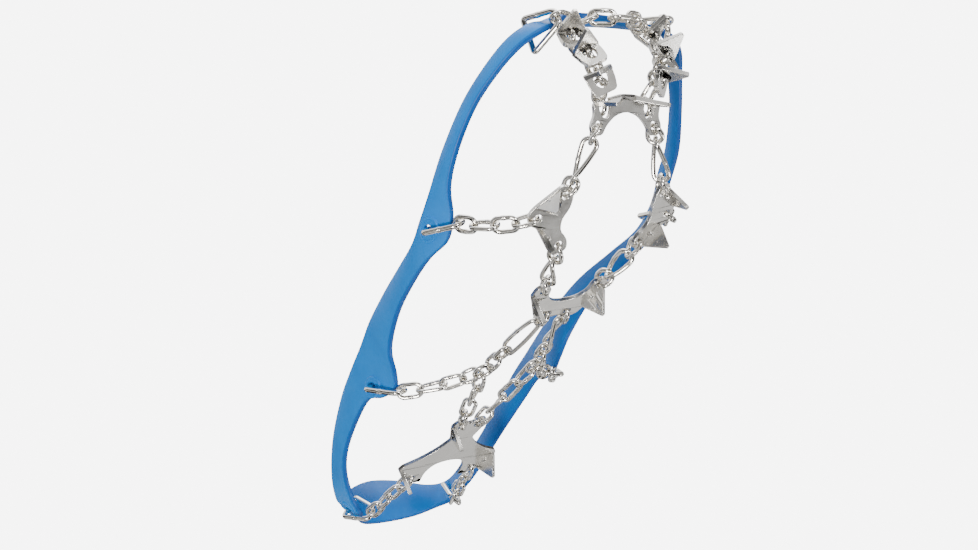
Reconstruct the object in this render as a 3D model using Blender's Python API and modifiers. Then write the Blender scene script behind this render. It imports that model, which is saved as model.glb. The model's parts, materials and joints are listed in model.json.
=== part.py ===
"""Chain ice cleats for a right walking boot of about EU 43, in the shape they take on the boot.

Metres, +Z up, +Y towards the toe, +X towards the outside of the foot.  The heel and rear
spikes stand on z = 0 and the origin is under the middle of the bounding box.  Lengths below
are in millimetres and MM turns them into metres.
"""

import math

import bmesh
import bpy
from mathutils import Matrix, Vector

MM = 0.001
PART_NAME = "Shoe_ice_cleats"

# The sole that the chain net lies against: flat under the heel, curved up at the toe
PLATE_Z = 11.0  # middle of the steel plates over the spike tips
ROCKER_START = 195.0  # distance from the back of the heel
ROCKER_RADIUS = 115.0
ORIGIN_Y = 140.55  # middle of the bounding box, from the back of the heel

# Steel
PLATE_T = 1.8
SPIKE_TIP = 1.4  # width of the blunt point
SPIKE_H = 11.0  # from the plate's middle to the point
HOLE_R = 1.8
WIRE_R = 1.0  # chain links
RING_WIRE_R = 1.25
GAP = 0.3
LINK_W = 2.7  # half width of a small link, at the middle of its wire
JUNCTION_R = 4.4

# Rubber
BAND_T = 3.0
BAND_STEPS = 3
EYELET_R = 2.2

SIDES = {"left": 1, "right": -1}  # left is the +X side


def world(x, y, z):
    """A point given from the back of the heel and the plates' middle."""
    return Vector((x, y - ORIGIN_Y, z + PLATE_Z)) * MM


def mirrored(point, side):
    return Vector((point[0] * SIDES[side], point[1], point[2]))


def sole_frame(u, v, pitch=0.0, roll=0.0, yaw=0.0):
    """Frame on the sole: u across, v along its curve.  Its x is across, its y forward."""
    turn = max(0.0, v - ROCKER_START) / ROCKER_RADIUS
    y = min(v, ROCKER_START) + ROCKER_RADIUS * math.sin(turn)
    z = ROCKER_RADIUS * (1 - math.cos(turn))
    spin = (
        Matrix.Rotation(turn + pitch, 4, "X")
        @ Matrix.Rotation(roll, 4, "Y")
        @ Matrix.Rotation(yaw, 4, "Z")
    )
    return Matrix.Translation(world(u, y, z)) @ spin


# ---------------------------------------------------------------- scene and materials


def clear_scene():
    for obj in list(bpy.data.objects):
        bpy.data.objects.remove(obj)


def new_collection(name):
    collection = bpy.data.collections.new(name)
    bpy.context.scene.collection.children.link(collection)
    return collection


def new_material(name, colour, roughness, metallic):
    material = bpy.data.materials.new(name)
    material.use_nodes = True
    shader = material.node_tree.nodes["Principled BSDF"]
    shader.inputs["Base Color"].default_value = (*colour, 1.0)
    shader.inputs["Roughness"].default_value = roughness
    shader.inputs["Metallic"].default_value = metallic
    return material


def finish(obj, material, smooth=True):
    obj.data.materials.clear()
    obj.data.materials.append(material)
    if smooth and obj.type == "MESH":
        obj.data.shade_smooth()
        obj.data.set_sharp_from_angle(angle=math.radians(35))
    return obj


def mesh_object(name, bm, collection, matrix=Matrix()):
    bmesh.ops.recalc_face_normals(bm, faces=bm.faces)
    mesh = bpy.data.meshes.new(name)
    bm.to_mesh(mesh)
    bm.free()
    obj = bpy.data.objects.new(name, mesh)
    obj.matrix_world = matrix
    collection.objects.link(obj)
    return obj


def as_mesh(curve_object, collection):
    """The curve's solid as a mesh object with its caps welded.  The curve is removed."""
    bpy.context.view_layer.update()
    graph = bpy.context.evaluated_depsgraph_get()
    mesh = bpy.data.meshes.new_from_object(curve_object.evaluated_get(graph))
    name = curve_object.name
    matrix = curve_object.matrix_world.copy()
    bpy.data.objects.remove(curve_object)
    bm = bmesh.new()
    bm.from_mesh(mesh)
    bmesh.ops.remove_doubles(bm, verts=bm.verts, dist=1e-6)
    return mesh_object(name, bm, collection, matrix)


def boolean(target, cutter, operation):
    modifier = target.modifiers.new(operation.title() + "_" + cutter.name, "BOOLEAN")
    modifier.operation = operation
    modifier.object = cutter
    cutter.hide_render = True
    cutter.display_type = "WIRE"


# ---------------------------------------------------------------- flat plates


def fillet(corners, steps=2):
    """A closed outline whose corners (u, v, run) are rounded over that run of each side."""
    outline = []
    count = len(corners)
    for i, (u, v, run) in enumerate(corners):
        here = Vector((u, v))
        ends = []
        for j in (i - 1, (i + 1) % count):
            side = Vector(corners[j][:2]) - here
            ends.append(here + side * min(run / side.length, 0.45))
        for k in range(steps + 1):
            t = k / steps
            outline.append(ends[0] * (1 - t) ** 2 + here * 2 * t * (1 - t) + ends[1] * t**2)
    return outline


def with_mirror(half):
    """A half outline at u >= 0, and the same points mirrored back to its start."""
    return half + [(-u, v, run) for u, v, run in reversed(half) if u > 0]


def circle(u, v, radius, count=10):
    turns = [2 * math.pi * (k + 0.5) / count for k in range(count)]
    return [Vector((u + radius * math.cos(t), v + radius * math.sin(t))) for t in turns]


def d_hole(u, v, half_width, depth, lean=0.0):
    """A D whose flat side lies next to a spike's bend, leaning by that angle."""
    points = [Vector((half_width, 0)), Vector((-half_width, 0))]
    for k in range(1, 6):
        t = math.pi * (1 + k / 6)
        points.append(Vector((half_width * math.cos(t), depth * math.sin(t))))
    turn = Matrix.Rotation(lean, 2)
    return [Vector((u, v)) + turn @ p for p in points]


def flat_plate(name, outlines, collection, matrix):
    """A sheet of PLATE_T, from an outline and the outlines of its holes."""
    curve = bpy.data.curves.new(name, "CURVE")
    curve.dimensions = "2D"
    curve.fill_mode = "BOTH"
    curve.extrude = PLATE_T / 2 * MM
    for outline in outlines:
        spline = curve.splines.new("POLY")
        spline.points.add(len(outline) - 1)
        spline.use_cyclic_u = True
        for point, place in zip(spline.points, outline):
            point.co = (place.x * MM, place.y * MM, 0, 1)
    obj = bpy.data.objects.new(name, curve)
    obj.matrix_world = matrix
    collection.objects.link(obj)
    return as_mesh(obj, collection)


def bend_axes(start, end, inward):
    """Both ends of a bend, the way along it, and the way into the plate."""
    start, end = Vector((*start, 0)), Vector((*end, 0))
    along = (end - start).normalized()
    inner = Vector((*inward, 0))
    inner = (inner - along * inner.dot(along)).normalized()
    return start, end, along, inner


def spike(name, bend, tip_shift, collection, matrix):
    """A triangle bent down from the plate's edge, inside that edge by its thickness."""
    start, end, along, inner = bend_axes(*bend)
    middle = (start + end) / 2 + along * tip_shift
    down = Vector((0, 0, -1))
    corners = [
        start + down * -SPIKE_ROOT,
        start + down * PLATE_T,
        middle - along * SPIKE_TIP / 2 + down * SPIKE_H,
        middle + along * SPIKE_TIP / 2 + down * SPIKE_H,
        end + down * PLATE_T,
        end + down * -SPIKE_ROOT,
    ]
    bm = bmesh.new()
    face = bm.faces.new([bm.verts.new(corner * MM) for corner in corners])
    grown = bmesh.ops.extrude_face_region(bm, geom=[face])
    moved = [item for item in grown["geom"] if isinstance(item, bmesh.types.BMVert)]
    bmesh.ops.translate(bm, verts=moved, vec=inner * PLATE_T * MM)
    return mesh_object(name, bm, collection, matrix)


def bend_opening(name, bend, shift, collection, matrix):
    """Cutter for the opening that lets the chain through a spike's root and the bend."""
    start, end, along, inner = bend_axes(*bend)
    place = (start + end) / 2 + along * shift + inner * PLATE_T / 2
    place.z = (OPENING_UP - OPENING_DOWN) / 2
    frame = Matrix((along, inner, along.cross(inner))).transposed().to_4x4()
    bm = bmesh.new()
    bmesh.ops.create_cube(bm, size=1)
    size = Vector((OPENING_W, PLATE_T + 2.1, OPENING_UP + OPENING_DOWN)) * MM
    bmesh.ops.scale(bm, verts=bm.verts, vec=size)
    return mesh_object(name, bm, collection, matrix @ Matrix.Translation(place * MM) @ frame)


SPIKE_ROOT = 0.5  # how far a spike runs up into its plate
OPENING_W = 4.6
OPENING_UP = 2.0
OPENING_DOWN = 3.3


def spiked_plate(name, outlines, spikes, matrix, material):
    """A plate and its bent spikes in one piece.

    Each spike is its bend (start, end, way in), the sideways shift of its point, and the
    shift of its opening along the bend, or None for a spike with no opening.
    """
    plate = flat_plate(name, outlines, parts, matrix)
    for number, (bend, tip_shift, _) in enumerate(spikes, 1):
        body = spike(f"{name}_spike_{number}", bend, tip_shift, helpers, matrix)
        boolean(plate, body, "UNION")
    for number, (bend, _, opening) in enumerate(spikes, 1):
        if opening is not None:
            cutter = bend_opening(f"{name}_opening_{number}", bend, opening, helpers, matrix)
            boolean(plate, cutter, "DIFFERENCE")
    return finish(plate, material, smooth=False)


ARCH_V, ARCH_PITCH = 274.0, math.radians(3.5)
ARCH_FEET = (14.2, -3.1)
ARCH_DEES = (11.6, 2.5)
ARCH_BEND = ((3.4, 8.6), (14.8, 6.2))
ARCH_TIP_SHIFT = 4.4
ARCH_OPENING_SHIFT = 2.5
ARCH_HALF = [
    (3.0, 9.4, 2.0), (14.8, 6.4, 0.6), (17.2, 5.4, 1.5), (16.4, 0.6, 2.5), (18.4, -3.4, 2.0),
    (17.0, -7.2, 2.5), (12.2, -7.4, 2.5), (10.4, -3.4, 2.5), (6.2, 0.6, 3.0), (1.8, 2.0, 1.6),
]  # fmt: skip

SIDE_V, SIDE_U, SIDE_ROLL = 231.0, 27.0, math.radians(13)
SIDE_TOP, SIDE_OUTER, SIDE_LOW = (25.2, 11.6), (33.6, 0.3), (21.0, -10.9)
SIDE_BENDS = (((28.4, 14.0), (35.6, 5.4)), ((31.9, -5.0), (24.4, -14.2)))
SIDE_OUTLINE = [
    (21.3, 11.0, 2.0), (22.6, 16.0, 2.4), (27.4, 16.2, 2.0), (36.2, 5.2, 1.2), (38.2, 1.6, 2.0),
    (37.0, -3.2, 2.2), (33.0, -4.4, 1.2), (24.6, -14.6, 1.2), (20.6, -15.6, 2.2),
    (16.8, -12.4, 2.4), (18.0, -7.8, 2.0), (22.2, -4.4, 2.5), (23.2, 1.0, 2.5), (21.2, 6.4, 2.5),
]  # fmt: skip

REAR_U, REAR_V, REAR_YAW = -1.8, 180.0, math.radians(-5)
REAR_TOP, REAR_LOW = (13.9, 11.9), (5.0, -4.6)
REAR_BEND = ((18.6, 8.8), (12.9, -2.8))
REAR_HALF = [
    (1.8, 3.6, 1.6), (6.4, 4.4, 2.5), (10.0, 8.0, 2.5), (10.6, 14.2, 2.2), (14.4, 16.2, 2.4),
    (18.2, 14.4, 2.4), (18.8, 9.0, 0.8), (12.7, -3.2, 1.0), (10.4, -8.0, 2.4), (5.0, -8.8, 2.0),
    (1.8, -7.0, 1.6),
]  # fmt: skip

HEEL_U, HEEL_V, HEEL_YAW = -0.8, 49.0, math.radians(-4.5)
HEEL_FRONT, HEEL_FEET = (4.3, 40.6), (16.6, 0.2)
HEEL_BEND = ((20.9, -1.4), (26.4, 8.8))
HEEL_NECK_BEND = ((5.9, 30.4), (9.3, 41.0))
HEEL_HALF = [
    (1.8, 10.8, 1.6), (7.4, 9.4, 3.0), (10.6, 3.4, 3.0), (10.4, -5.2, 0.8), (18.8, -4.4, 2.0),
    (26.8, 9.4, 1.0), (25.6, 12.4, 1.5), (17.4, 16.8, 4.0), (10.6, 22.6, 4.0), (5.9, 29.6, 1.4),
    (9.5, 41.4, 1.2), (7.6, 45.2, 2.0), (3.4, 45.0, 1.6), (1.4, 42.8, 1.2),
]  # fmt: skip

# Toe plates: place of the hole, and the way the spike points
TOE_PLATES = (
    ((21.5, 284.5, 53.5), (0.29, 0.955, 0.06)),
    ((19.6, 286.0, 42.8), (0.31, 0.91, -0.275)),
    ((15.6, 280.7, 34.4), (0.445, 0.5, -0.745)),
)
TOE_UP = (-0.31, -0.12, 0.93)  # from the first toe plate's hole to the chain over it
TOE_BEND_V = 3.9
TOE_HALF = [(5.9, TOE_BEND_V, 0.6), (5.6, -1.5, 1.0), (4.6, -6.0, 1.8)]
TOE_DEE = (2.9, 4.9)

# Where the chain meets the rubber: the band's station, the height on it, the ring's length
# and a point its far end reaches for
EYELETS = {
    "forefoot": (16, 0.62, 15.2, (51.6, 210.4, 23.0)),
    "heel_side": (9, 0.30, 17.6, (42.0, 110.0, 9.0)),
    "rear": (3, 0.48, 13.8, (22.0, 16.4, 4.4)),
}
RING_WIDE, RING_NARROW = 5.8, 3.0  # half widths
JUNCTION = (14.2, 132.0, 1.2)

# The toe ring lies round the strap: middle of its wide bar, its narrow end, the bar's way
TOE_RING = ((33.4, 275.5, 63.4), (28.0, 289.0, 60.4), (-0.05, 0.28, 0.96))
TOE_RING_WIDE = 8.1
TOE_CROSS = ((14.8, 284.0, 61.9), (11.6, 290.4, 59.4), (4.0, 292.8, 57.2),
             (-4.0, 292.8, 56.8), (-11.6, 290.4, 58.8), (-14.8, 284.0, 61.9))  # fmt: skip


def local(matrix, point, lift=0.0):
    """World place, in millimetres from the heel, of a point in a plate's own frame."""
    p = matrix @ (Vector((point[0], point[1], lift)) * MM) / MM
    return Vector((p.x, p.y + ORIGIN_Y, p.z - PLATE_Z))


def side_matrix(side):
    return sole_frame(SIDE_U * SIDES[side], SIDE_V, roll=-SIDE_ROLL * SIDES[side])


def side_local(point, side):
    """A side plate's point in the frame of its own middle."""
    return ((point[0] - SIDE_U) * SIDES[side], point[1])


def flip(point, side):
    return (point[0] * SIDES[side], point[1])


def toe_matrix(number, side):
    """Frame of a toe plate: y up the chain, z into the boot."""
    here = Vector(TOE_PLATES[number][0])
    if number:
        before = Vector(TOE_PLATES[number - 1][0])
    else:
        before = here + Vector(TOE_UP)
    along = (before - here).normalized()
    inward = -Vector(TOE_PLATES[number][1])
    inward = (inward - along * inward.dot(along)).normalized()
    across = along.cross(inward)
    here, along, inward, across = (mirrored(p, side) for p in (here, along, inward, across))
    if side == "right":
        across = -across
    turn = Matrix((across, along, inward)).transposed().to_4x4()
    return Matrix.Translation(world(*here)) @ turn


def build_plates(steel):
    arch_lean = math.atan2(ARCH_BEND[1][1] - ARCH_BEND[0][1], ARCH_BEND[1][0] - ARCH_BEND[0][0])
    outlines = [fillet(with_mirror(ARCH_HALF))]
    spikes = []
    for side, sign in SIDES.items():
        outlines.append(circle(*flip(ARCH_FEET, side), HOLE_R))
        outlines.append(d_hole(ARCH_DEES[0] * sign, ARCH_DEES[1] + 2.0, 2.8, 4.9, arch_lean * sign))
        bend = (*(flip(p, side) for p in ARCH_BEND), (0, -1))
        spikes.append((bend, ARCH_TIP_SHIFT, ARCH_OPENING_SHIFT))
    spiked_plate("arch_plate", outlines, spikes, ARCH_FRAME, steel)

    for side, sign in SIDES.items():
        outlines = [fillet([(*side_local(p, side), p[2]) for p in SIDE_OUTLINE])]
        for hole in (SIDE_TOP, SIDE_OUTER, SIDE_LOW):
            outlines.append(circle(*side_local(hole, side), HOLE_R))
        spikes = [
            ((side_local(a, side), side_local(b, side), (-sign, inward)), 0.0, None)
            for (a, b), inward in zip(SIDE_BENDS, (-1, 1))
        ]
        spiked_plate(f"side_plate_{side}", outlines, spikes, side_matrix(side), steel)

    outlines = [fillet(with_mirror(REAR_HALF))]
    spikes = []
    for side, sign in SIDES.items():
        outlines += [circle(*flip(hole, side), HOLE_R) for hole in (REAR_TOP, REAR_LOW)]
        spikes.append(((*(flip(p, side) for p in REAR_BEND), (-sign, 0)), 0.0, None))
    spiked_plate("rear_plate", outlines, spikes, REAR_FRAME, steel)

    outlines = [fillet(with_mirror(HEEL_HALF))]
    spikes = []
    for side, sign in SIDES.items():
        outlines += [circle(*flip(hole, side), HOLE_R) for hole in (HEEL_FRONT, HEEL_FEET)]
        spikes.append(((*(flip(p, side) for p in HEEL_BEND), (-sign, 0)), 0.0, None))
    spikes.append(((*HEEL_NECK_BEND, (-1, 0)), 0.0, None))
    spiked_plate("heel_plate", outlines, spikes, HEEL_FRAME, steel)

    for side in SIDES:
        for number in range(len(TOE_PLATES)):
            outlines = [fillet(with_mirror(TOE_HALF)), d_hole(0, 1.4, *TOE_DEE)]
            half = TOE_HALF[0][0]
            bend = ((-half, TOE_BEND_V), (half, TOE_BEND_V), (0, -1))
            name = f"toe_plate_{side}_{number + 1}"
            spiked_plate(name, outlines, [(bend, 0.0, 0.0)], toe_matrix(number, side), steel)


# ---------------------------------------------------------------- wire


def wire(name, points, radius, origin, collection, resolution=1):
    """A closed loop of wire through points, with its origin at the given place."""
    curve = bpy.data.curves.new(name, "CURVE")
    curve.dimensions = "3D"
    curve.bevel_depth = radius * MM
    curve.bevel_resolution = resolution
    curve.use_fill_caps = True
    spline = curve.splines.new("POLY")
    spline.points.add(len(points) - 1)
    spline.use_cyclic_u = True
    for point, place in zip(spline.points, points):
        point.co = (*((place - origin) * MM), 1)
    obj = bpy.data.objects.new(name, curve)
    obj.location = world(*origin)
    collection.objects.link(obj)
    return obj


def link_points(start, end, up_start, up_end, half_width):
    """Middle line of a link between its two tips.  Its width turns from up_start to up_end."""
    axis = (end - start).normalized()
    length = (end - start).length
    up = (up_start - axis * up_start.dot(axis)).normalized()
    last = (up_end - axis * up_end.dot(axis)).normalized()
    twist = math.atan2(axis.dot(up.cross(last)), up.dot(last))
    bow = min(half_width, length / 2)
    ring = [(0.0 + bow * (1 - math.cos(math.radians(a))), math.sin(math.radians(a)))
            for a in (-90, -45, 0, 45, 90)]  # fmt: skip
    span = length - 2 * bow
    arm = [bow + span / 3, bow + span * 2 / 3] if abs(twist) > 0.5 and span > 3 else []
    first = [(s, w) for s, w in ring]
    second = [(length - s, w) for s, w in reversed(ring)]
    path = first + [(s, 1.0) for s in arm] + second + [(s, -1.0) for s in reversed(arm)]
    points = []
    for s, w in path:
        turn = Matrix.Rotation(twist * s / length, 3, axis)
        points.append(start + axis * s + (turn @ up) * (w * half_width))
    return points


def turned(vector, axis, degrees):
    return Matrix.Rotation(math.radians(degrees), 3, axis) @ vector


def joint_points(start, end, via, shares):
    """Points on the bent line from start to end, so far apart as the shares say."""
    samples = []
    for k in range(101):
        t = k / 100
        samples.append(start * (1 - t) ** 2 + via * 2 * t * (1 - t) + end * t**2)
    reach = [0.0]
    for a, b in zip(samples, samples[1:]):
        reach.append(reach[-1] + (b - a).length)
    points, run = [start], 0.0
    for share in shares[:-1]:
        run += share / sum(shares) * reach[-1]
        k = next(i for i, r in enumerate(reach) if r >= run)
        points.append(samples[k])
    return points + [end]


def chain(names, tips, ups, lengths, twists, material, half_width=LINK_W, via=None, tail=()):
    """Links in a line between two tips.

    names holds one name per piece, with the number of links joined in it.  Each link turns by
    its own twist, and by an even share of what is left over, so that both ends come out right.
    tail is one more wire loop that is melted into the last piece.
    """
    start, end = tips
    joined = [False] * (len(lengths) - 1)
    count = 0
    for _, links in names:
        for k in range(links - 1):
            joined[count + k] = True
        count += links
    hooks = [WIRE_R - FUSE / 2 if fused else WIRE_R + GAP / 2 for fused in joined]
    shares = []
    for number, length in enumerate(lengths):
        shares.append(length - sum(hooks[max(0, number - 1) : number + 1]))
    points = joint_points(start, end, via or (start + end) / 2, shares)
    axes = [(b - a).normalized() for a, b in zip(points, points[1:])]
    for k, (a, b) in enumerate(zip(axes, axes[1:])):
        hooks[k] /= max(0.8, math.cos(a.angle(b) / 2)) ** 2
    first = (ups[0] - axes[0] * ups[0].dot(axes[0])).normalized()
    last = (ups[1] - axes[-1] * ups[1].dot(axes[-1])).normalized()
    carried = first
    for axis in axes:
        carried = (carried - axis * carried.dot(axis)).normalized()
    wanted = math.degrees(math.atan2(axes[-1].dot(carried.cross(last)), carried.dot(last)))
    reached = sum(twists) + 90 * (len(lengths) - 1)
    spare = (wanted - reached + 90) % 180 - 90
    share = spare / len(lengths)
    angle, loops = 0.0, []
    level = first
    for number, axis in enumerate(axes):
        level = (level - axis * level.dot(axis)).normalized()
        tip_a = points[number] - (axis * hooks[number - 1] if number else Vector())
        tip_b = points[number + 1] + (axis * hooks[number] if number < len(hooks) else Vector())
        up_a = turned(level, axis, angle)
        angle += twists[number] + share
        up_b = turned(level, axis, angle)
        loops.append((tip_a, link_points(tip_a, tip_b, up_a, up_b, half_width)))
        angle += 90
    count = 0
    for name, links in names:
        group = loops[count : count + links]
        count += links
        if tail and count == len(loops):
            group.append(tail)
        join_wires(name, group, material)


def join_wires(name, group, material):
    """One piece of chain: its links, melted together where they hook."""
    origin = group[0][0]
    if len(group) == 1:
        obj = wire(name, group[0][1], WIRE_R, origin, parts)
        obj.data.materials.append(material)
        return
    pieces = [
        as_mesh(wire(f"{name}_{k}", points, WIRE_R, origin, helpers), helpers)
        for k, (_, points) in enumerate(group)
    ]
    base = pieces[0]
    helpers.objects.unlink(base)
    parts.objects.link(base)
    base.name = name
    for other in pieces[1:]:
        boolean(base, other, "UNION")
    finish(base, material)


def wall(name, side):
    """Middle of the rubber wall at an eyelet, and its outward normal."""
    station, height = EYELETS[name][:2]
    before, here, after = (
        Vector(low).lerp(Vector(high), height) for low, high in BAND_HALF[station - 1 : station + 2]
    )
    across = Vector(BAND_HALF[station][1]) - Vector(BAND_HALF[station][0])
    normal = (after - before).cross(across).normalized()
    return mirrored(here + normal * BAND_T / 2, side), mirrored(normal, side)


def ring_axes(name, side):
    """Middle of the wide bar, the far end, the ring's direction, and the way its bar runs."""
    if name == "toe":
        eyelet, far, bar = (mirrored(p, side) for p in TOE_RING)
        along = (far - eyelet).normalized()
        return eyelet, far, along, (bar - along * bar.dot(along)).normalized()
    eyelet, normal = wall(name, side)
    length, reach = EYELETS[name][2:]
    along = (mirrored(reach, side) - eyelet).normalized()
    along = (along - normal * (along.dot(normal) * (1 - RING_LEAN))).normalized()
    bar = (normal - along * normal.dot(along)).normalized()
    return eyelet, eyelet + along * length, along, bar


RING_LEAN = 0.3  # share of the way out of the rubber's wall that a ring keeps


def build_rings(material):
    for name in ("toe", "forefoot", "heel_side", "rear"):
        wide = TOE_RING_WIDE if name == "toe" else RING_WIDE
        for side in SIDES:
            eyelet, far, along, bar = ring_axes(name, side)
            length = (far - eyelet).length
            half = [
                (0.0, wide - 1.4), (0.5, wide - 0.4), (1.7, wide),
                (length - 2.0, RING_NARROW + 0.2), (length - 0.6, RING_NARROW - 0.5),
                (length, RING_NARROW - 1.7),
            ]  # fmt: skip
            points = [eyelet + along * s + bar * w for s, w in half]
            points += [eyelet + along * s - bar * w for s, w in reversed(half)]
            obj = wire(f"{name}_ring_{side}", points, RING_WIRE_R, eyelet, parts, 1)
            obj.data.materials.append(material)


def ring_tip(name, side, towards):
    """Tip of a link that hangs in a ring, and the way it must stand there."""
    eyelet, far, along, bar = ring_axes(name, side)
    way = (towards - far).normalized()
    pull = (way - bar * way.dot(bar)).normalized()
    return far - pull * (WIRE_R + RING_WIRE_R + GAP), bar.cross(way).normalized()


def junction_tip(side, towards, fused=False):
    centre = mirrored(JUNCTION, side)
    way = (towards - centre).normalized()
    return centre + way * (JUNCTION_R - 2 * WIRE_R - (-FUSE if fused else GAP + 0.15))


def junction_loop(side):
    centre = mirrored(JUNCTION, side)
    points = []
    for k in range(14):
        t = 2 * math.pi * k / 14
        points.append(centre + Vector((math.cos(t), math.sin(t), 0)) * JUNCTION_R)
    return centre, points


def level_via(plate, hole, towards, reach):
    """A point out from a hole in its plate's own plane, on the way to a far point."""
    p = local(plate, hole)
    normal = (plate.to_3x3() @ Vector((0, 0, 1))).normalized()
    way = towards - p
    way = (way - normal * way.dot(normal)).normalized()
    return p + way * reach


def build_chains(material):
    up = Vector((0, 0, 1))
    for side, sign in SIDES.items():
        arch_up = ARCH_FRAME.to_3x3() @ up
        side_frame = side_matrix(side)
        side_up = side_frame.to_3x3() @ up
        foot = local(ARCH_FRAME, flip(ARCH_FEET, side))
        top, outer, low = (
            local(side_frame, side_local(p, side)) for p in (SIDE_TOP, SIDE_OUTER, SIDE_LOW)
        )
        rear_top, rear_low = (local(REAR_FRAME, flip(p, side)) for p in (REAR_TOP, REAR_LOW))
        front, feet = (local(HEEL_FRAME, flip(p, side)) for p in (HEEL_FRONT, HEEL_FEET))

        via = level_via(side_frame, side_local(SIDE_TOP, side), foot, 9.0)
        chain([(f"arch_chain_{side}_long", 2), (f"arch_chain_{side}_end", 1)],
              (foot, top), (arch_up, side_up), (7.8, 21.0, 8.6),
              (45 * sign, 90 * sign, 45 * sign), material, 3.2, via)  # fmt: skip
        via = level_via(side_frame, side_local(SIDE_LOW, side), rear_top, 8.0)
        chain([(f"side_chain_{side}_long", 2), (f"side_chain_{side}_end", 1)],
              (low, rear_top), (side_up, up), (8.0, 14.0, 7.6),
              (-45 * sign, -90 * sign, -45 * sign), material, 3.2, via)  # fmt: skip

        tip, stand = ring_tip("forefoot", side, outer)
        via = level_via(side_frame, side_local(SIDE_OUTER, side), tip, 13.0)
        chain([(f"forefoot_chain_{side}_outer", 2), (f"forefoot_chain_{side}_inner", 2)],
              (tip, outer), (stand, side_up), (9.5, 11.5, 11.0, 10.0), (0, 0, 0, 0),
              material, 3.2, via)  # fmt: skip

        centre = mirrored(JUNCTION, side)
        chain([(f"waist_chain_{side}_long", 2), (f"waist_chain_{side}_junction", 2)],
              (rear_low, junction_tip(side, rear_low, True)), (up, up), (8.0, 25.0, 9.0, 9.0),
              (0, 90 * sign, 0, 0), material, 2.8, tail=junction_loop(side))  # fmt: skip
        tip, stand = ring_tip("heel_side", side, centre)
        via = Vector((0.5 * (tip.x + centre.x), 0.5 * (tip.y + centre.y), centre.z + 1.5))
        chain([(f"heel_side_chain_{side}_outer", 2), (f"heel_side_chain_{side}_inner", 2)],
              (tip, junction_tip(side, tip)), (stand, up), (11.0, 13.0, 11.0, 9.0),
              (0, 0, 0, 0), material, 3.0, via)  # fmt: skip
        chain([(f"heel_front_chain_{side}_outer", 2), (f"heel_front_chain_{side}_inner", 2)],
              (junction_tip(side, front), front), (up, up), (10.0, 11.0, 11.0, 9.0),
              (0, 0, 0, 0), material)  # fmt: skip
        tip, stand = ring_tip("rear", side, feet)
        chain([(f"rear_chain_{side}_inner", 2), (f"rear_chain_{side}_outer", 2)],
              (feet, tip), (up, stand), (9.5, 10.0, 9.0, 9.0), (0, 0, 0, 0), material)
    build_toe_chains(material)


FUSE = 0.45  # how deep the links of one piece run into each other
PLATE_LINK_W = 2.6
PLATE_LINK = ((-1.5, 0.2), (4.0, 4.5))  # ends of a toe plate's own link, y and z in its frame
FIRST_LINK = ((-1.5, 0.6), (11.0, 0.9))
BACK_LINK = ((-0.1, 2.3), (2.2, 3.1))  # the link behind: end here, and end at the next plate
TOP_LINK_UP = (0.0, 0.8, 0.6)


def arch_dee_frame(side):
    """Frame like a toe plate's, at the arch plate's D-hole."""
    return ARCH_FRAME @ Matrix.Translation(
        Vector((ARCH_DEES[0] * SIDES[side], ARCH_DEES[1] + 0.6, 0)) * MM
    )


def build_toe_chains(material):
    """The run from the toe ring through the three toe plates to the arch plate."""
    across, out = Vector((1, 0, 0)), Vector((0, 0, 1))
    for side in SIDES:
        frames = [toe_matrix(number, side) for number in range(len(TOE_PLATES))]
        frames.append(arch_dee_frame(side))
        loops = []
        for number, frame in enumerate(frames):
            ends = PLATE_LINK if number else FIRST_LINK
            bottom, top = (local(frame, (0, y), z) for y, z in ends)
            way = (frame.to_3x3() @ out).normalized()
            loops.append((top, link_points(top, bottom, way, way, PLATE_LINK_W)))
            if number + 1 == len(frames):
                break
            after = frames[number + 1]
            last = number + 2 == len(frames)
            start = local(frame, (0, BACK_LINK[0][0]), BACK_LINK[0][1])
            end = local(after, (0, BACK_LINK[1][0] + (0.7 if last else 0)), BACK_LINK[1][1])
            ways = (frame.to_3x3() @ across, after.to_3x3() @ across)
            loops.append((start, link_points(start, end, *ways, 2.7)))
        for number in range(2):
            pair = loops[2 * number : 2 * number + 2]
            join_wires(f"toe_chain_{side}_{number + 1}", pair, material)
        join_wires(f"toe_chain_{side}_3", loops[4:], material)
    build_cross_chain(material)


def build_cross_chain(material):
    """The run over the front of the toe, from one toe ring to the other."""
    points = [Vector(p) for p in TOE_CROSS]
    up = Vector((0, 0, 1))
    axes = [(b - a).normalized() for a, b in zip(points, points[1:])]
    loops = []
    for k, axis in enumerate(axes):
        tips = []
        for n in (0, 1):
            hook = WIRE_R - FUSE / 2 if (k, n) in CROSS_FUSED else WIRE_R + GAP
            if 0 < k + n < len(axes):
                hook /= max(0.8, math.cos(axes[k + n - 1].angle(axes[k + n]) / 2)) ** 2
            tips.append(points[k + n] + axis * hook * (2 * n - 1))
        way = turned(axis.cross(up).normalized(), axis, CROSS_TILT + 90 * (k % 2))
        loops.append((tips[0], link_points(*tips, way, way, 3.3 if k in (0, 4) else 2.8)))
    ends = []
    for side, inner in (("left", points[0]), ("right", points[-1])):
        tip, stand = ring_tip("toe", side, inner)
        axis = (inner - tip).normalized()
        if stand.y < 0:
            stand.negate()
        last = inner + axis * (WIRE_R - FUSE / 2)
        ends.append((tip, link_points(tip, last, stand, mirrored(TOP_LINK_UP, side), 2.8)))
    join_wires("cross_chain_left", [ends[0], loops[0]], material)
    join_wires("cross_chain_middle", loops[1:4], material)
    join_wires("cross_chain_right", [loops[4], ends[1]], material)


CROSS_TILT = 37.0  # turn of the first cross link about its own line, from level
CROSS_FUSED = {(0, 0), (1, 1), (2, 0), (2, 1), (3, 0), (4, 1)}  # link number, and which end


# ---------------------------------------------------------------- rubber harness

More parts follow.
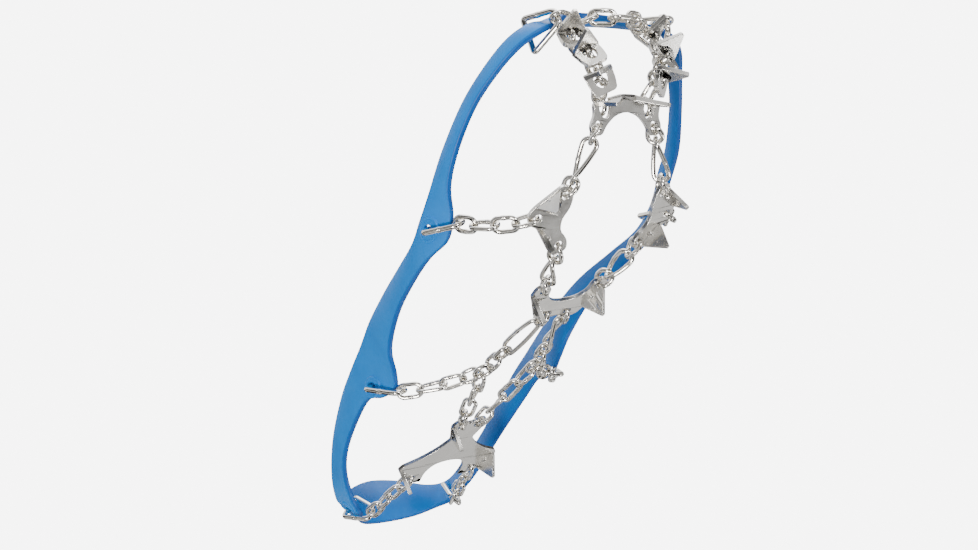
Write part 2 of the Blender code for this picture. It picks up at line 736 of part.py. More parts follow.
# Half of the band, from the back of the heel to the middle of the toe cap: its lower and
# upper edge on the boot's surface.  The edges dip into a tongue at each eyelet.
BAND_HALF = (
    ((0.0, -9.0, 8.0), (0.0, -12.0, 34.0)),
    ((14.0, -6.5, 7.5), (13.5, -9.0, 30.0)),
    ((22.0, 2.5, 6.0), (24.5, -1.5, 21.0)),
    ((25.4, 10.5, 4.6), (32.0, 6.0, 18.0)),
    ((33.0, 21.0, 7.6), (37.6, 18.0, 21.0)),
    ((40.4, 36.0, 13.6), (42.0, 33.0, 25.0)),
    ((44.4, 52.0, 17.6), (45.4, 51.0, 30.0)),
    ((46.4, 74.0, 20.0), (47.6, 72.0, 35.0)),
    ((46.2, 89.0, 20.4), (49.0, 88.0, 37.0)),
    ((44.2, 97.0, 15.6), (49.6, 97.0, 38.0)),
    ((43.0, 107.0, 13.2), (50.0, 105.0, 38.8)),
    ((44.6, 114.0, 16.4), (50.6, 113.0, 39.6)),
    ((49.0, 125.0, 23.0), (51.2, 124.0, 40.6)),
    ((52.2, 146.0, 27.0), (52.8, 145.0, 39.8)),
    ((55.2, 170.0, 25.6), (56.2, 168.0, 36.4)),
    ((56.0, 187.0, 23.8), (59.0, 185.0, 34.2)),
    ((53.4, 199.0, 23.0), (60.4, 197.0, 36.0)),
    ((53.8, 209.0, 27.4), (60.2, 206.0, 38.6)),
    ((57.0, 220.0, 34.0), (58.6, 217.0, 43.0)),
    ((57.0, 234.0, 40.4), (57.8, 228.0, 46.6)),
    ((52.8, 250.0, 48.4), (53.4, 246.0, 54.6)),
    ((46.6, 264.6, 53.4), (47.0, 260.0, 60.4)),
    ((40.6, 275.6, 55.8), (41.2, 271.2, 63.6)),
    ((33.6, 281.8, 57.4), (34.4, 277.4, 65.2)),
    ((26.4, 283.0, 60.4), (27.0, 277.0, 67.2)),
    ((17.6, 281.0, 66.6), (18.0, 272.0, 74.0)),
    ((8.6, 276.4, 74.4), (9.0, 266.2, 80.6)),
    ((0.0, 274.6, 77.0), (0.0, 263.8, 82.6)),
)
BAND_EYELETS = ("forefoot", "heel_side", "rear")


def smooth_path(points, steps):
    """A closed Catmull-Rom curve through points."""
    count = len(points)
    path = []
    for i in range(count):
        a, b, c, d = (points[(i + k) % count] for k in (-1, 0, 1, 2))
        for k in range(steps):
            t = k / steps
            path.append(
                0.5 * ((2 * b) + (c - a) * t + (2 * a - 5 * b + 4 * c - d) * t**2
                       + (3 * b - a - 3 * c + d) * t**3)
            )  # fmt: skip
    return path


def build_band(material):
    """The harness: a closed strip between its two edges, thickened away from the boot."""
    half = [(Vector(low), Vector(high)) for low, high in BAND_HALF]
    back = [(mirrored(low, "right"), mirrored(high, "right")) for low, high in half[-2:0:-1]]
    stations = half + back
    lows = smooth_path([low for low, _ in stations], BAND_STEPS)
    highs = smooth_path([high for _, high in stations], BAND_STEPS)
    bm = bmesh.new()
    rows = [
        [bm.verts.new(world(*low.lerp(high, t))) for t in (0, 0.5, 1)]
        for low, high in zip(lows, highs)
    ]
    for here, there in zip(rows, rows[1:] + rows[:1]):
        for k in range(2):
            bm.faces.new((here[k], there[k], there[k + 1], here[k + 1]))
    bmesh.ops.recalc_face_normals(bm, faces=bm.faces)
    mesh = bpy.data.meshes.new("harness_band")
    bm.to_mesh(mesh)
    bm.free()
    band = bpy.data.objects.new("harness_band", mesh)
    parts.objects.link(band)
    shell = band.modifiers.new("Thickness", "SOLIDIFY")
    shell.thickness = BAND_T * MM
    shell.offset = 1.0
    shell.use_even_offset = False
    for name in BAND_EYELETS:
        for side in SIDES:
            eyelet, far, along, bar = ring_axes(name, side)
            bm = bmesh.new()
            bmesh.ops.create_cone(
                bm, cap_ends=True, segments=12, radius1=EYELET_R * MM, radius2=EYELET_R * MM,
                depth=BAND_T * 6 * MM,
            )  # fmt: skip
            turn = bar.to_track_quat("Z", "Y").to_matrix().to_4x4()
            place = Matrix.Translation(world(*eyelet)) @ turn
            cutter = mesh_object(f"eyelet_{name}_{side}", bm, helpers, place)
            boolean(band, cutter, "DIFFERENCE")
    return finish(band, material)


# ---------------------------------------------------------------- build

clear_scene()
parts = new_collection(PART_NAME)
helpers = new_collection("Cutters")
ARCH_FRAME = sole_frame(0, ARCH_V, pitch=ARCH_PITCH)
REAR_FRAME = sole_frame(REAR_U, REAR_V, yaw=REAR_YAW)
HEEL_FRAME = sole_frame(HEEL_U, HEEL_V, yaw=HEEL_YAW)
rubber = new_material("blue_rubber", (0.02, 0.22, 0.62), 0.45, 0.0)
sheet_steel = new_material("satin_steel", (0.62, 0.60, 0.57), 0.28, 1.0)
wire_steel = new_material("bright_steel", (0.70, 0.68, 0.64), 0.16, 1.0)
build_band(rubber)
build_plates(sheet_steel)
build_rings(wire_steel)
build_chains(wire_steel)
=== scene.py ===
"""Chain ice cleats in the shape they take on a boot: every link, ring, plate and the harness.

Lengths are in millimetres from the back of the heel and the middle of the plates; world()
turns them into the frame's metres.  Left is the +X side.
"""

import json
import math

import bmesh
import bpy
from mathutils import Matrix, Vector
from mathutils.bvhtree import BVHTree

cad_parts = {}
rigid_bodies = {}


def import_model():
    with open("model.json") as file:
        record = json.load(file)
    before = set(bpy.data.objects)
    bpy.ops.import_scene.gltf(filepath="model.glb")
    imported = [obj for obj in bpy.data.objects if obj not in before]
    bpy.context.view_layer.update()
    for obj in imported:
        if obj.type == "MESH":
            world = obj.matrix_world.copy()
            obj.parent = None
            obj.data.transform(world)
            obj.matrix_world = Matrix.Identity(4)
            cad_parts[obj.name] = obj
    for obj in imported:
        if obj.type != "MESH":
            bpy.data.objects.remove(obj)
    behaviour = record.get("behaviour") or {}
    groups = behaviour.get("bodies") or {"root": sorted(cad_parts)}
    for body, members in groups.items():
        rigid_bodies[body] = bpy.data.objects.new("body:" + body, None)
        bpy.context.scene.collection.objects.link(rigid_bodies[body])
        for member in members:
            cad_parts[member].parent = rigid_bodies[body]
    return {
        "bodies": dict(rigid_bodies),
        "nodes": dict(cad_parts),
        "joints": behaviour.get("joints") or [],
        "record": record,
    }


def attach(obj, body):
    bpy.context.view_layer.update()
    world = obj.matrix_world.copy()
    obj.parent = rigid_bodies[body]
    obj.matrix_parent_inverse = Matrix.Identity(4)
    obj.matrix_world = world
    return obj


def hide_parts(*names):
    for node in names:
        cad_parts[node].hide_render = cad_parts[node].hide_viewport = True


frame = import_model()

for leftover in ("Cube", "Light", "Camera"):
    if leftover in bpy.data.objects:
        bpy.data.objects.remove(bpy.data.objects[leftover])
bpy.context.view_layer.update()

MM = 0.001

# The sole that the chain net lies against: flat under the heel, curved up at the toe
PLATE_Z = 11.0  # middle of the steel plates over the spike tips
ROCKER_START = 195.0  # distance from the back of the heel
ROCKER_RADIUS = 115.0
ORIGIN_Y = 140.55  # middle of the bounding box, from the back of the heel

# Steel
PLATE_T = 1.8
SPIKE_TIP = 1.4  # width of the blunt point
SPIKE_H = 11.0  # from the plate's middle to the point
HOLE_R = 1.8
WIRE_R = 1.0  # chain links
RING_WIRE_R = 1.25
GAP = 0.3
LINK_W = 2.7  # half width of a small link, at the middle of its wire
JUNCTION_R = 4.4
LINK_SIDES, RING_SIDES, RIM_SIDES = 14, 18, 12  # faces round a wire or bead

# Rubber
BAND_T = 3.0
BAND_STEPS = 8  # faces between two stations
EYELET_R = 2.2

SIDES = {"left": 1, "right": -1}  # left is the +X side


def world(x, y, z):
    """A point given from the back of the heel and the plates' middle."""
    return Vector((x, y - ORIGIN_Y, z + PLATE_Z)) * MM


def unworld(point):
    """The other way round: millimetres from a place in the frame."""
    return Vector((point.x / MM, point.y / MM + ORIGIN_Y, point.z / MM - PLATE_Z))


def square_to(axis, vector):
    """The way of a vector, without its part along the axis."""
    return (vector - axis * vector.dot(axis)).normalized()


def axes_at(x, y, z, place):
    """The matrix of a frame with those axes at a place."""
    return Matrix.Translation(place) @ Matrix((x, y, z)).transposed().to_4x4()


def mirrored(point, side):
    return Vector((point[0] * SIDES[side], point[1], point[2]))


def sole_frame(u, v, pitch=0.0, roll=0.0, yaw=0.0):
    """Frame on the sole: u across, v along its curve.  Its x is across, its y forward."""
    turn = max(0.0, v - ROCKER_START) / ROCKER_RADIUS
    y = min(v, ROCKER_START) + ROCKER_RADIUS * math.sin(turn)
    z = ROCKER_RADIUS * (1 - math.cos(turn))
    spin = (
        Matrix.Rotation(turn + pitch, 4, "X")
        @ Matrix.Rotation(roll, 4, "Y")
        @ Matrix.Rotation(yaw, 4, "Z")
    )
    return Matrix.Translation(world(u, y, z)) @ spin


# ---------------------------------------------------------------- node helpers


def material(name):
    """A new material, its node tree, its shader and its object coordinates."""
    made = bpy.data.materials.new(name)
    made.use_nodes = True
    tree = made.node_tree
    place = tree.nodes.new("ShaderNodeTexCoord").outputs["Object"]
    return made, tree, tree.nodes["Principled BSDF"], place


def noise(tree, scale, coordinate, stretch=(1, 1, 1), **settings):
    """The strength of a noise on stretched coordinates."""
    mapping = tree.nodes.new("ShaderNodeMapping")
    mapping.inputs["Scale"].default_value = stretch
    tree.links.new(coordinate, mapping.inputs["Vector"])
    node = tree.nodes.new("ShaderNodeTexNoise")
    node.inputs["Scale"].default_value = scale
    for key, value in settings.items():
        node.inputs[key].default_value = value
    tree.links.new(mapping.outputs["Vector"], node.inputs["Vector"])
    return node.outputs["Fac"]


def ramp(tree, source, stops, blend="LINEAR"):
    """The colour of a strength, between stops of (strength, colour)."""
    node = tree.nodes.new("ShaderNodeValToRGB")
    node.color_ramp.interpolation = blend
    elements = node.color_ramp.elements
    while len(elements) < len(stops):
        elements.new(0.5)
    for element, (place, colour) in zip(elements, stops):
        element.position = place
        element.color = (*colour, 1)
    tree.links.new(source, node.inputs["Fac"])
    return node.outputs["Color"]


def grey(value):
    return (value, value, value)


def mixed(tree, share, one, other):
    """Mix of a coloured socket and another colour, as far as the share's socket says."""
    node = tree.nodes.new("ShaderNodeMix")
    node.data_type = "RGBA"
    tree.links.new(share, node.inputs[0])
    tree.links.new(one, node.inputs[6])
    if isinstance(other, tuple):
        node.inputs[7].default_value = (*other, 1)
    else:
        tree.links.new(other, node.inputs[7])
    return node.outputs[2]


def bump(tree, height, strength, distance, normal=None):
    node = tree.nodes.new("ShaderNodeBump")
    node.inputs["Strength"].default_value = strength
    node.inputs["Distance"].default_value = distance
    tree.links.new(height, node.inputs["Height"])
    if normal is not None:
        tree.links.new(normal, node.inputs["Normal"])
    return node.outputs["Normal"]


def feed(tree, shader, colour, rough, normal):
    tree.links.new(colour, shader.inputs["Base Color"])
    tree.links.new(rough, shader.inputs["Roughness"])
    tree.links.new(normal, shader.inputs["Normal"])


# ---------------------------------------------------------------- materials


def sheet_steel():
    """Satin stainless sheet: rolled grain, faint cloudy stains and fine scratches."""
    made, tree, shader, place = material("satin_steel")
    cloud = noise(tree, 90, place, Detail=5.0, Roughness=0.6)
    grain = noise(tree, 900, place, (1, 14, 14), Detail=3.0)
    scratch = noise(tree, 500, place, (22, 1, 5), Detail=2.0)
    tint = ramp(tree, cloud, [(0.3, (0.66, 0.64, 0.60)), (0.7, (0.90, 0.88, 0.84))])
    rough = ramp(tree, cloud, [(0.25, grey(0.16)), (0.75, grey(0.30))])
    fine = bump(tree, grain, 0.03, 0.0001)
    feed(tree, shader, tint, rough, bump(tree, scratch, 0.02, 0.0001, fine))
    shader.inputs["Metallic"].default_value = 1.0
    return made


def wire_steel():
    """Drawn and tumbled stainless wire: bright, with soft dents and darker spots."""
    made, tree, shader, place = material("bright_steel")
    cloud = noise(tree, 160, place, Detail=4.0)
    dents = noise(tree, 420, place, Detail=2.0)
    specks = noise(tree, 1500, place, Detail=2.0)
    tint = ramp(tree, cloud, [(0.3, (0.70, 0.67, 0.61)), (0.65, (0.96, 0.93, 0.87))])
    rough = ramp(tree, dents, [(0.3, grey(0.05)), (0.7, grey(0.14))])
    fine = bump(tree, specks, 0.06, 0.0001)
    feed(tree, shader, tint, rough, bump(tree, dents, 0.12, 0.0003, fine))
    shader.inputs["Metallic"].default_value = 1.0
    return made


def blue_rubber():
    """Moulded elastomer: a blue face, edges painted a deeper blue for shade, fine mould texture and
    dust.
    """
    made, tree, shader, place = material("blue_rubber")
    # edge reads each point's share of painted shade, which build_band stores on the band
    edge = tree.nodes.new("ShaderNodeAttribute")
    edge.attribute_name = "edge"
    cloud = noise(tree, 45, place, Detail=5.0, Roughness=0.55)
    pores = noise(tree, 1400, place, Detail=3.0)
    dust = noise(tree, 260, place, Detail=6.0, Roughness=0.7)
    # Painted shade: side is the face's blue darkened to stand in for shade on the band's edges and
    # back; the edge share mixes it in
    face = ramp(tree, cloud, [(0.3, (0.0, 0.20, 0.66)), (0.7, (0.0, 0.26, 0.80))])
    side = ramp(tree, cloud, [(0.3, (0.0, 0.07, 0.33)), (0.7, (0.0, 0.10, 0.42))])
    tone = mixed(tree, edge.outputs["Fac"], face, side)
    bloom = ramp(tree, dust, [(0.56, grey(0)), (0.8, grey(0.16))])
    tone = mixed(tree, bloom, tone, (0.08, 0.32, 0.62))
    rough = ramp(tree, dust, [(0.3, grey(0.36)), (0.75, grey(0.56))])
    fine = bump(tree, pores, 0.12, 0.00015)
    feed(tree, shader, tone, rough, bump(tree, cloud, 0.08, 0.001, fine))
    shader.inputs["Specular IOR Level"].default_value = 0.3
    shader.inputs["Coat Weight"].default_value = 0.06
    shader.inputs["Coat Roughness"].default_value = 0.3
    return made


# ---------------------------------------------------------------- mesh helpers


def new_object(name, bm, finish, matrix=Matrix(), angle=35, closed=True):
    """A smooth object, sharp where its faces meet at more than the angle."""
    if closed:
        bmesh.ops.recalc_face_normals(bm, faces=bm.faces)
    mesh = bpy.data.meshes.new(name)
    bm.to_mesh(mesh)
    bm.free()
    obj = bpy.data.objects.new(name, mesh)
    obj.matrix_world = matrix
    bpy.context.scene.collection.objects.link(obj)
    mesh.materials.append(finish)
    mesh.shade_smooth()
    if angle:
        mesh.set_sharp_from_angle(angle=math.radians(angle))
    return obj


def place_on(obj, body, slot, *nodes):
    """The piece rides with a body, and may stand for CAD nodes."""
    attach(obj, body)
    if nodes:
        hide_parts(*nodes)


def skin(bm, rows):
    """Faces between closed rows of points, and from the last row back to the first."""
    for here, there in zip(rows, rows[1:] + rows[:1]):
        for j in range(len(here)):
            n = (j + 1) % len(here)
            bm.faces.new((here[j], here[n], there[n], there[j]))


def tube(name, path, radius, finish, sides):
    """Round wire along a closed path of (point, share of the radius)."""
    points = [world(*point) for point, _ in path]
    count = len(points)
    ways = [(points[(k + 1) % count] - points[k - 1]).normalized() for k in range(count)]
    normal = ways[0].orthogonal().normalized()
    normals = [normal]
    for way in ways[1:]:
        normal = square_to(way, normal)
        normals.append(normal)
    closing = square_to(ways[0], normal)
    slip = math.atan2(ways[0].dot(closing.cross(normals[0])), closing.dot(normals[0]))
    bm = bmesh.new()
    rows = []
    for k, (point, way, normal) in enumerate(zip(points, ways, normals)):
        start = Matrix.Rotation(slip * k / count, 3, way) @ normal
        reach = radius * path[k][1] * MM
        rows.append([
            bm.verts.new(point + Matrix.Rotation(2 * math.pi * j / sides, 3, way) @ start * reach)
            for j in range(sides)
        ])  # fmt: skip
    skin(bm, rows)
    return new_object(name, bm, finish, angle=0)


def boolean(target, cutter, operation):
    modifier = target.modifiers.new(operation.title(), "BOOLEAN")
    modifier.operation = operation
    modifier.object = cutter


def applied(obj, *used):
    """The object with its modifiers applied, without the objects that they used."""
    bpy.context.view_layer.update()
    graph = bpy.context.evaluated_depsgraph_get()
    mesh = bpy.data.meshes.new_from_object(obj.evaluated_get(graph))
    old = obj.data
    obj.modifiers.clear()
    obj.data = mesh
    bpy.data.meshes.remove(old)
    for helper in used:
        bpy.data.objects.remove(helper)
    return obj


# ---------------------------------------------------------------- plates


def bent(start, corner, end, t):
    """A point on the curve from start to end that leans towards the corner."""
    return start * (1 - t) ** 2 + corner * 2 * t * (1 - t) + end * t**2


LONGEST_RUN = 0.45  # the most of a side that one rounded corner takes


def fillet(corners, steps=6):
    """A closed outline whose corners (u, v, run) are rounded over that run of each side."""
    outline = []
    count = len(corners)
    for i, (u, v, run) in enumerate(corners):
        here = Vector((u, v))
        ends = []
        for j in (i - 1, (i + 1) % count):
            side = Vector(corners[j][:2]) - here
            ends.append(here + side * min(run / side.length, LONGEST_RUN))
        outline += [bent(ends[0], here, ends[1], k / steps) for k in range(steps + 1)]
    return outline


def with_mirror(half):
    """A half outline at u >= 0, and the same points mirrored back to its start."""
    return half + [(-u, v, run) for u, v, run in reversed(half) if u > 0]


def circle(u, v, radius, count=32):
    turns = [2 * math.pi * (k + 0.5) / count for k in range(count)]
    return [Vector((u + radius * math.cos(t), v + radius * math.sin(t))) for t in turns]


def d_hole(u, v, half_width, depth, lean=0.0):
    """A D whose flat side lies next to a spike's bend, leaning by that angle."""
    points = [Vector((half_width, 0)), Vector((-half_width, 0))]
    for k in range(1, 18):
        t = math.pi * (1 + k / 18)
        points.append(Vector((half_width * math.cos(t), depth * math.sin(t))))
    turn = Matrix.Rotation(lean, 2)
    return [Vector((u, v)) + turn @ p for p in points]


def flat_plate(name, outlines, matrix, finish):
    """A sheet of PLATE_T, from an outline and the outlines of its holes."""
    curve = bpy.data.curves.new(name, "CURVE")
    curve.dimensions = "2D"
    curve.fill_mode = "BOTH"
    curve.extrude = PLATE_T / 2 * MM
    for outline in outlines:
        spline = curve.splines.new("POLY")
        spline.points.add(len(outline) - 1)
        spline.use_cyclic_u = True
        for point, place in zip(spline.points, outline):
            point.co = (place.x * MM, place.y * MM, 0, 1)
    drawn = bpy.data.objects.new(name + "_outline", curve)
    bpy.context.scene.collection.objects.link(drawn)
    bpy.context.view_layer.update()
    graph = bpy.context.evaluated_depsgraph_get()
    mesh = bpy.data.meshes.new_from_object(drawn.evaluated_get(graph))
    bm = bmesh.new()
    bm.from_mesh(mesh)
    bpy.data.objects.remove(drawn)
    bpy.data.meshes.remove(mesh)
    bmesh.ops.remove_doubles(bm, verts=bm.verts, dist=1e-6)
    return new_object(name, bm, finish, matrix)


SPIKE_ROOT = 0.5  # how far a spike runs up into its plate
OPENING_W = 4.6
OPENING_UP = 2.0
OPENING_DOWN = 3.3
OPENING_R = 1.1
OPENING_OVER = 2.1  # how much longer the cutter is than the wall
GUSSET = (1.25, 2.5, 1.15)  # half width, length and height
GUSSET_SINK = 0.1  # how deep its middle sits in the corner
BROKEN_EDGE = 0.22


def bend_axes(start, end, inward):
    """Both ends of a bend, the way along it, and the way into the plate."""
    start, end = Vector((*start, 0)), Vector((*end, 0))
    along = (end - start).normalized()
    return start, end, along, square_to(along, Vector((*inward, 0)))


def spike(bend, tip_shift, matrix, finish):
    """A triangle bent down from the plate's edge, inside that edge by its thickness."""
    start, end, along, inner = bend_axes(*bend)
    middle = (start + end) / 2 + along * tip_shift
    down = Vector((0, 0, -1))
    corners = [
        start + down * -SPIKE_ROOT,
        start + down * PLATE_T,
        middle - along * SPIKE_TIP / 2 + down * SPIKE_H,
        middle + along * SPIKE_TIP / 2 + down * SPIKE_H,
        end + down * PLATE_T,
        end + down * -SPIKE_ROOT,
    ]
    bm = bmesh.new()
    face = bm.faces.new([bm.verts.new(corner * MM) for corner in corners])
    grown = bmesh.ops.extrude_face_region(bm, geom=[face])
    moved = [item for item in grown["geom"] if isinstance(item, bmesh.types.BMVert)]
    bmesh.ops.translate(bm, verts=moved, vec=inner * PLATE_T * MM)
    return new_object("spike", bm, finish, matrix)


def bend_opening(bend, shift, matrix, finish):
    """Cutter for the opening that lets the chain through a spike's root and the bend."""
    start, end, along, inner = bend_axes(*bend)
    place = (start + end) / 2 + along * shift + inner * PLATE_T / 2
    place.z = (OPENING_UP - OPENING_DOWN) / 2
    bm = bmesh.new()
    bmesh.ops.create_cube(bm, size=1)
    size = Vector((OPENING_W, PLATE_T + OPENING_OVER, OPENING_UP + OPENING_DOWN)) * MM
    bmesh.ops.scale(bm, verts=bm.verts, vec=size)
    upright = [e for e in bm.edges if abs((e.verts[0].co - e.verts[1].co).normalized().y) > 0.9]
    rounding = {"offset": OPENING_R * MM, "segments": 5, "affect": "EDGES", "profile": 0.5}
    bmesh.ops.bevel(bm, geom=upright, **rounding)
    where = matrix @ axes_at(along, inner, along.cross(inner), place * MM)
    return new_object("opening", bm, finish, where)


def gusset(bend, matrix, finish):
    """The pressed dimple that stiffens a bend: half an egg in its inner corner."""
    start, end, along, inner = bend_axes(*bend)
    place = (start + end) / 2 + inner * (PLATE_T - GUSSET_SINK)
    place.z = -PLATE_T / 2 + GUSSET_SINK
    out = (inner + Vector((0, 0, -1))).normalized()
    bm = bmesh.new()
    bmesh.ops.create_uvsphere(bm, u_segments=24, v_segments=16, radius=1)
    bmesh.ops.scale(bm, verts=bm.verts, vec=Vector(GUSSET) * MM)
    where = matrix @ axes_at(along, along.cross(out), out, place * MM)
    return new_object("gusset", bm, finish, where)


def spiked_plate(node, outlines, spikes, matrix, finish):
    """A plate and its bent spikes in one piece, with its edges broken.

    Each spike is its bend (start, end, way in), the sideways shift of its point, and the
    shift of its opening along the bend, or None for a spike with a stiffening dimple.
    """
    plate = flat_plate(node + "_sheet", outlines, matrix, finish)
    helpers = []
    for bend, tip_shift, opening in spikes:
        helpers.append(spike(bend, tip_shift, matrix, finish))
        boolean(plate, helpers[-1], "UNION")
        if opening is None:
            helpers.append(gusset(bend, matrix, finish))
            boolean(plate, helpers[-1], "UNION")
    for bend, _, opening in spikes:
        if opening is not None:
            helpers.append(bend_opening(bend, opening, matrix, finish))
            boolean(plate, helpers[-1], "DIFFERENCE")
    applied(plate, *helpers)
    edges = plate.modifiers.new("Broken_edges", "BEVEL")
    edges.width = BROKEN_EDGE * MM
    edges.segments = 3
    edges.limit_method = "ANGLE"
    edges.angle_limit = math.radians(38)
    edges.use_clamp_overlap = False
    edges.harden_normals = True
    place_on(applied(plate), node, "satin_steel", node)


ARCH_V, ARCH_PITCH = 274.0, math.radians(3.5)
ARCH_FEET = (14.2, -3.1)
ARCH_DEES = (11.6, 2.5)
ARCH_DEE = (2.8, 4.9)  # half width and depth of its D-holes
ARCH_DEE_BACK = 2.0  # from the hole's own place to its flat side
ARCH_BEND = ((3.4, 8.6), (14.8, 6.2))
ARCH_TIP_SHIFT = 4.4
ARCH_OPENING_SHIFT = 2.5
ARCH_HALF = [
    (3.0, 9.4, 2.0), (14.8, 6.4, 0.6), (17.2, 5.4, 1.5), (16.4, 0.6, 2.5), (18.4, -3.4, 2.0),
    (17.0, -7.2, 2.5), (12.2, -7.4, 2.5), (10.4, -3.4, 2.5), (6.2, 0.6, 3.0), (1.8, 2.0, 1.6),
]  # fmt: skip

SIDE_V, SIDE_U, SIDE_ROLL = 231.0, 27.0, math.radians(13)
SIDE_TOP, SIDE_OUTER, SIDE_LOW = (25.2, 11.6), (33.6, 0.3), (21.0, -10.9)
SIDE_BENDS = (((28.4, 14.0), (35.6, 5.4)), ((31.9, -5.0), (24.4, -14.2)))
SIDE_OUTLINE = [
    (21.3, 11.0, 2.0), (22.6, 16.0, 2.4), (27.4, 16.2, 2.0), (36.2, 5.2, 1.2), (38.2, 1.6, 2.0),
    (37.0, -3.2, 2.2), (33.0, -4.4, 1.2), (24.6, -14.6, 1.2), (20.6, -15.6, 2.2),
    (16.8, -12.4, 2.4), (18.0, -7.8, 2.0), (22.2, -4.4, 2.5), (23.2, 1.0, 2.5), (21.2, 6.4, 2.5),
]  # fmt: skip

REAR_U, REAR_V, REAR_YAW = -1.8, 180.0, math.radians(-5)
REAR_TOP, REAR_LOW = (13.9, 11.9), (5.0, -4.6)
REAR_BEND = ((18.6, 8.8), (12.9, -2.8))
REAR_HALF = [
    (1.8, 3.6, 1.6), (6.4, 4.4, 2.5), (10.0, 8.0, 2.5), (10.6, 14.2, 2.2), (14.4, 16.2, 2.4),
    (18.2, 14.4, 2.4), (18.8, 9.0, 0.8), (12.7, -3.2, 1.0), (10.4, -8.0, 2.4), (5.0, -8.8, 2.0),
    (1.8, -7.0, 1.6),
]  # fmt: skip

HEEL_U, HEEL_V, HEEL_YAW = -0.8, 49.0, math.radians(-4.5)
HEEL_FRONT, HEEL_FEET = (4.3, 40.6), (16.6, 0.2)
HEEL_BEND = ((20.9, -1.4), (26.4, 8.8))
HEEL_NECK_BEND = ((5.9, 30.4), (9.3, 41.0))
HEEL_HALF = [
    (1.8, 10.8, 1.6), (7.4, 9.4, 3.0), (10.6, 3.4, 3.0), (10.4, -5.2, 0.8), (18.8, -4.4, 2.0),
    (26.8, 9.4, 1.0), (25.6, 12.4, 1.5), (17.4, 16.8, 4.0), (10.6, 22.6, 4.0), (5.9, 29.6, 1.4),
    (9.5, 41.4, 1.2), (7.6, 45.2, 2.0), (3.4, 45.0, 1.6), (1.4, 42.8, 1.2),
]  # fmt: skip

# Toe plates: place of the hole, and the way the spike points
TOE_PLATES = (
    ((21.5, 284.5, 53.5), (0.29, 0.955, 0.06)),
    ((19.6, 286.0, 42.8), (0.31, 0.91, -0.275)),
    ((15.6, 280.7, 34.4), (0.445, 0.5, -0.745)),
)
TOE_UP = (-0.31, -0.12, 0.93)  # from the first toe plate's hole to the chain over it
TOE_BEND_V = 3.9
TOE_HALF = [(5.9, TOE_BEND_V, 0.6), (5.6, -1.5, 1.0), (4.6, -6.0, 1.8)]
TOE_DEE, TOE_DEE_V = (2.9, 4.9), 1.4

# Where the chain meets the rubber: the band's station, the height on it, the ring's length
# and a point its far end reaches for
EYELETS = {
    "forefoot": (16, 0.62, 15.2, (51.6, 210.4, 23.0)),
    "heel_side": (9, 0.30, 17.6, (42.0, 110.0, 9.0)),
    "rear": (3, 0.48, 13.8, (22.0, 16.4, 4.4)),
}
RING_WIDE, RING_NARROW = 5.8, 3.0  # half widths
JUNCTION = (14.2, 132.0, 1.2)

# The toe ring lies round the strap: middle of its wide bar, its narrow end, the bar's way
TOE_RING = ((33.4, 275.5, 63.4), (28.0, 289.0, 60.4), (-0.05, 0.28, 0.96))
TOE_RING_WIDE = 8.1
TOE_CROSS = ((14.8, 284.0, 61.9), (11.6, 290.4, 59.4), (4.0, 292.8, 57.2),
             (-4.0, 292.8, 56.8), (-11.6, 290.4, 58.8), (-14.8, 284.0, 61.9))  # fmt: skip


def local(matrix, point, lift=0.0):
    """World place, in millimetres from the heel, of a point in a plate's own frame."""
    p = matrix @ (Vector((*point, lift)) * MM) / MM
    return Vector((p.x, p.y + ORIGIN_Y, p.z - PLATE_Z))


def side_matrix(side):
    return sole_frame(SIDE_U * SIDES[side], SIDE_V, roll=-SIDE_ROLL * SIDES[side])


def side_local(point, side):
    """A side plate's point in the frame of its own middle."""
    return ((point[0] - SIDE_U) * SIDES[side], point[1])


def flip(point, side):
    return (point[0] * SIDES[side], point[1])


def toe_matrix(number, side):
    """Frame of a toe plate: y up the chain, z into the boot."""
    here = Vector(TOE_PLATES[number][0])
    if number:
        before = Vector(TOE_PLATES[number - 1][0])
    else:
        before = here + Vector(TOE_UP)
    along = (before - here).normalized()
    inward = square_to(along, -Vector(TOE_PLATES[number][1]))
    across = along.cross(inward)
    here, along, inward, across = (mirrored(p, side) for p in (here, along, inward, across))
    if side == "right":
        across = -across
    return axes_at(across, along, inward, world(*here))


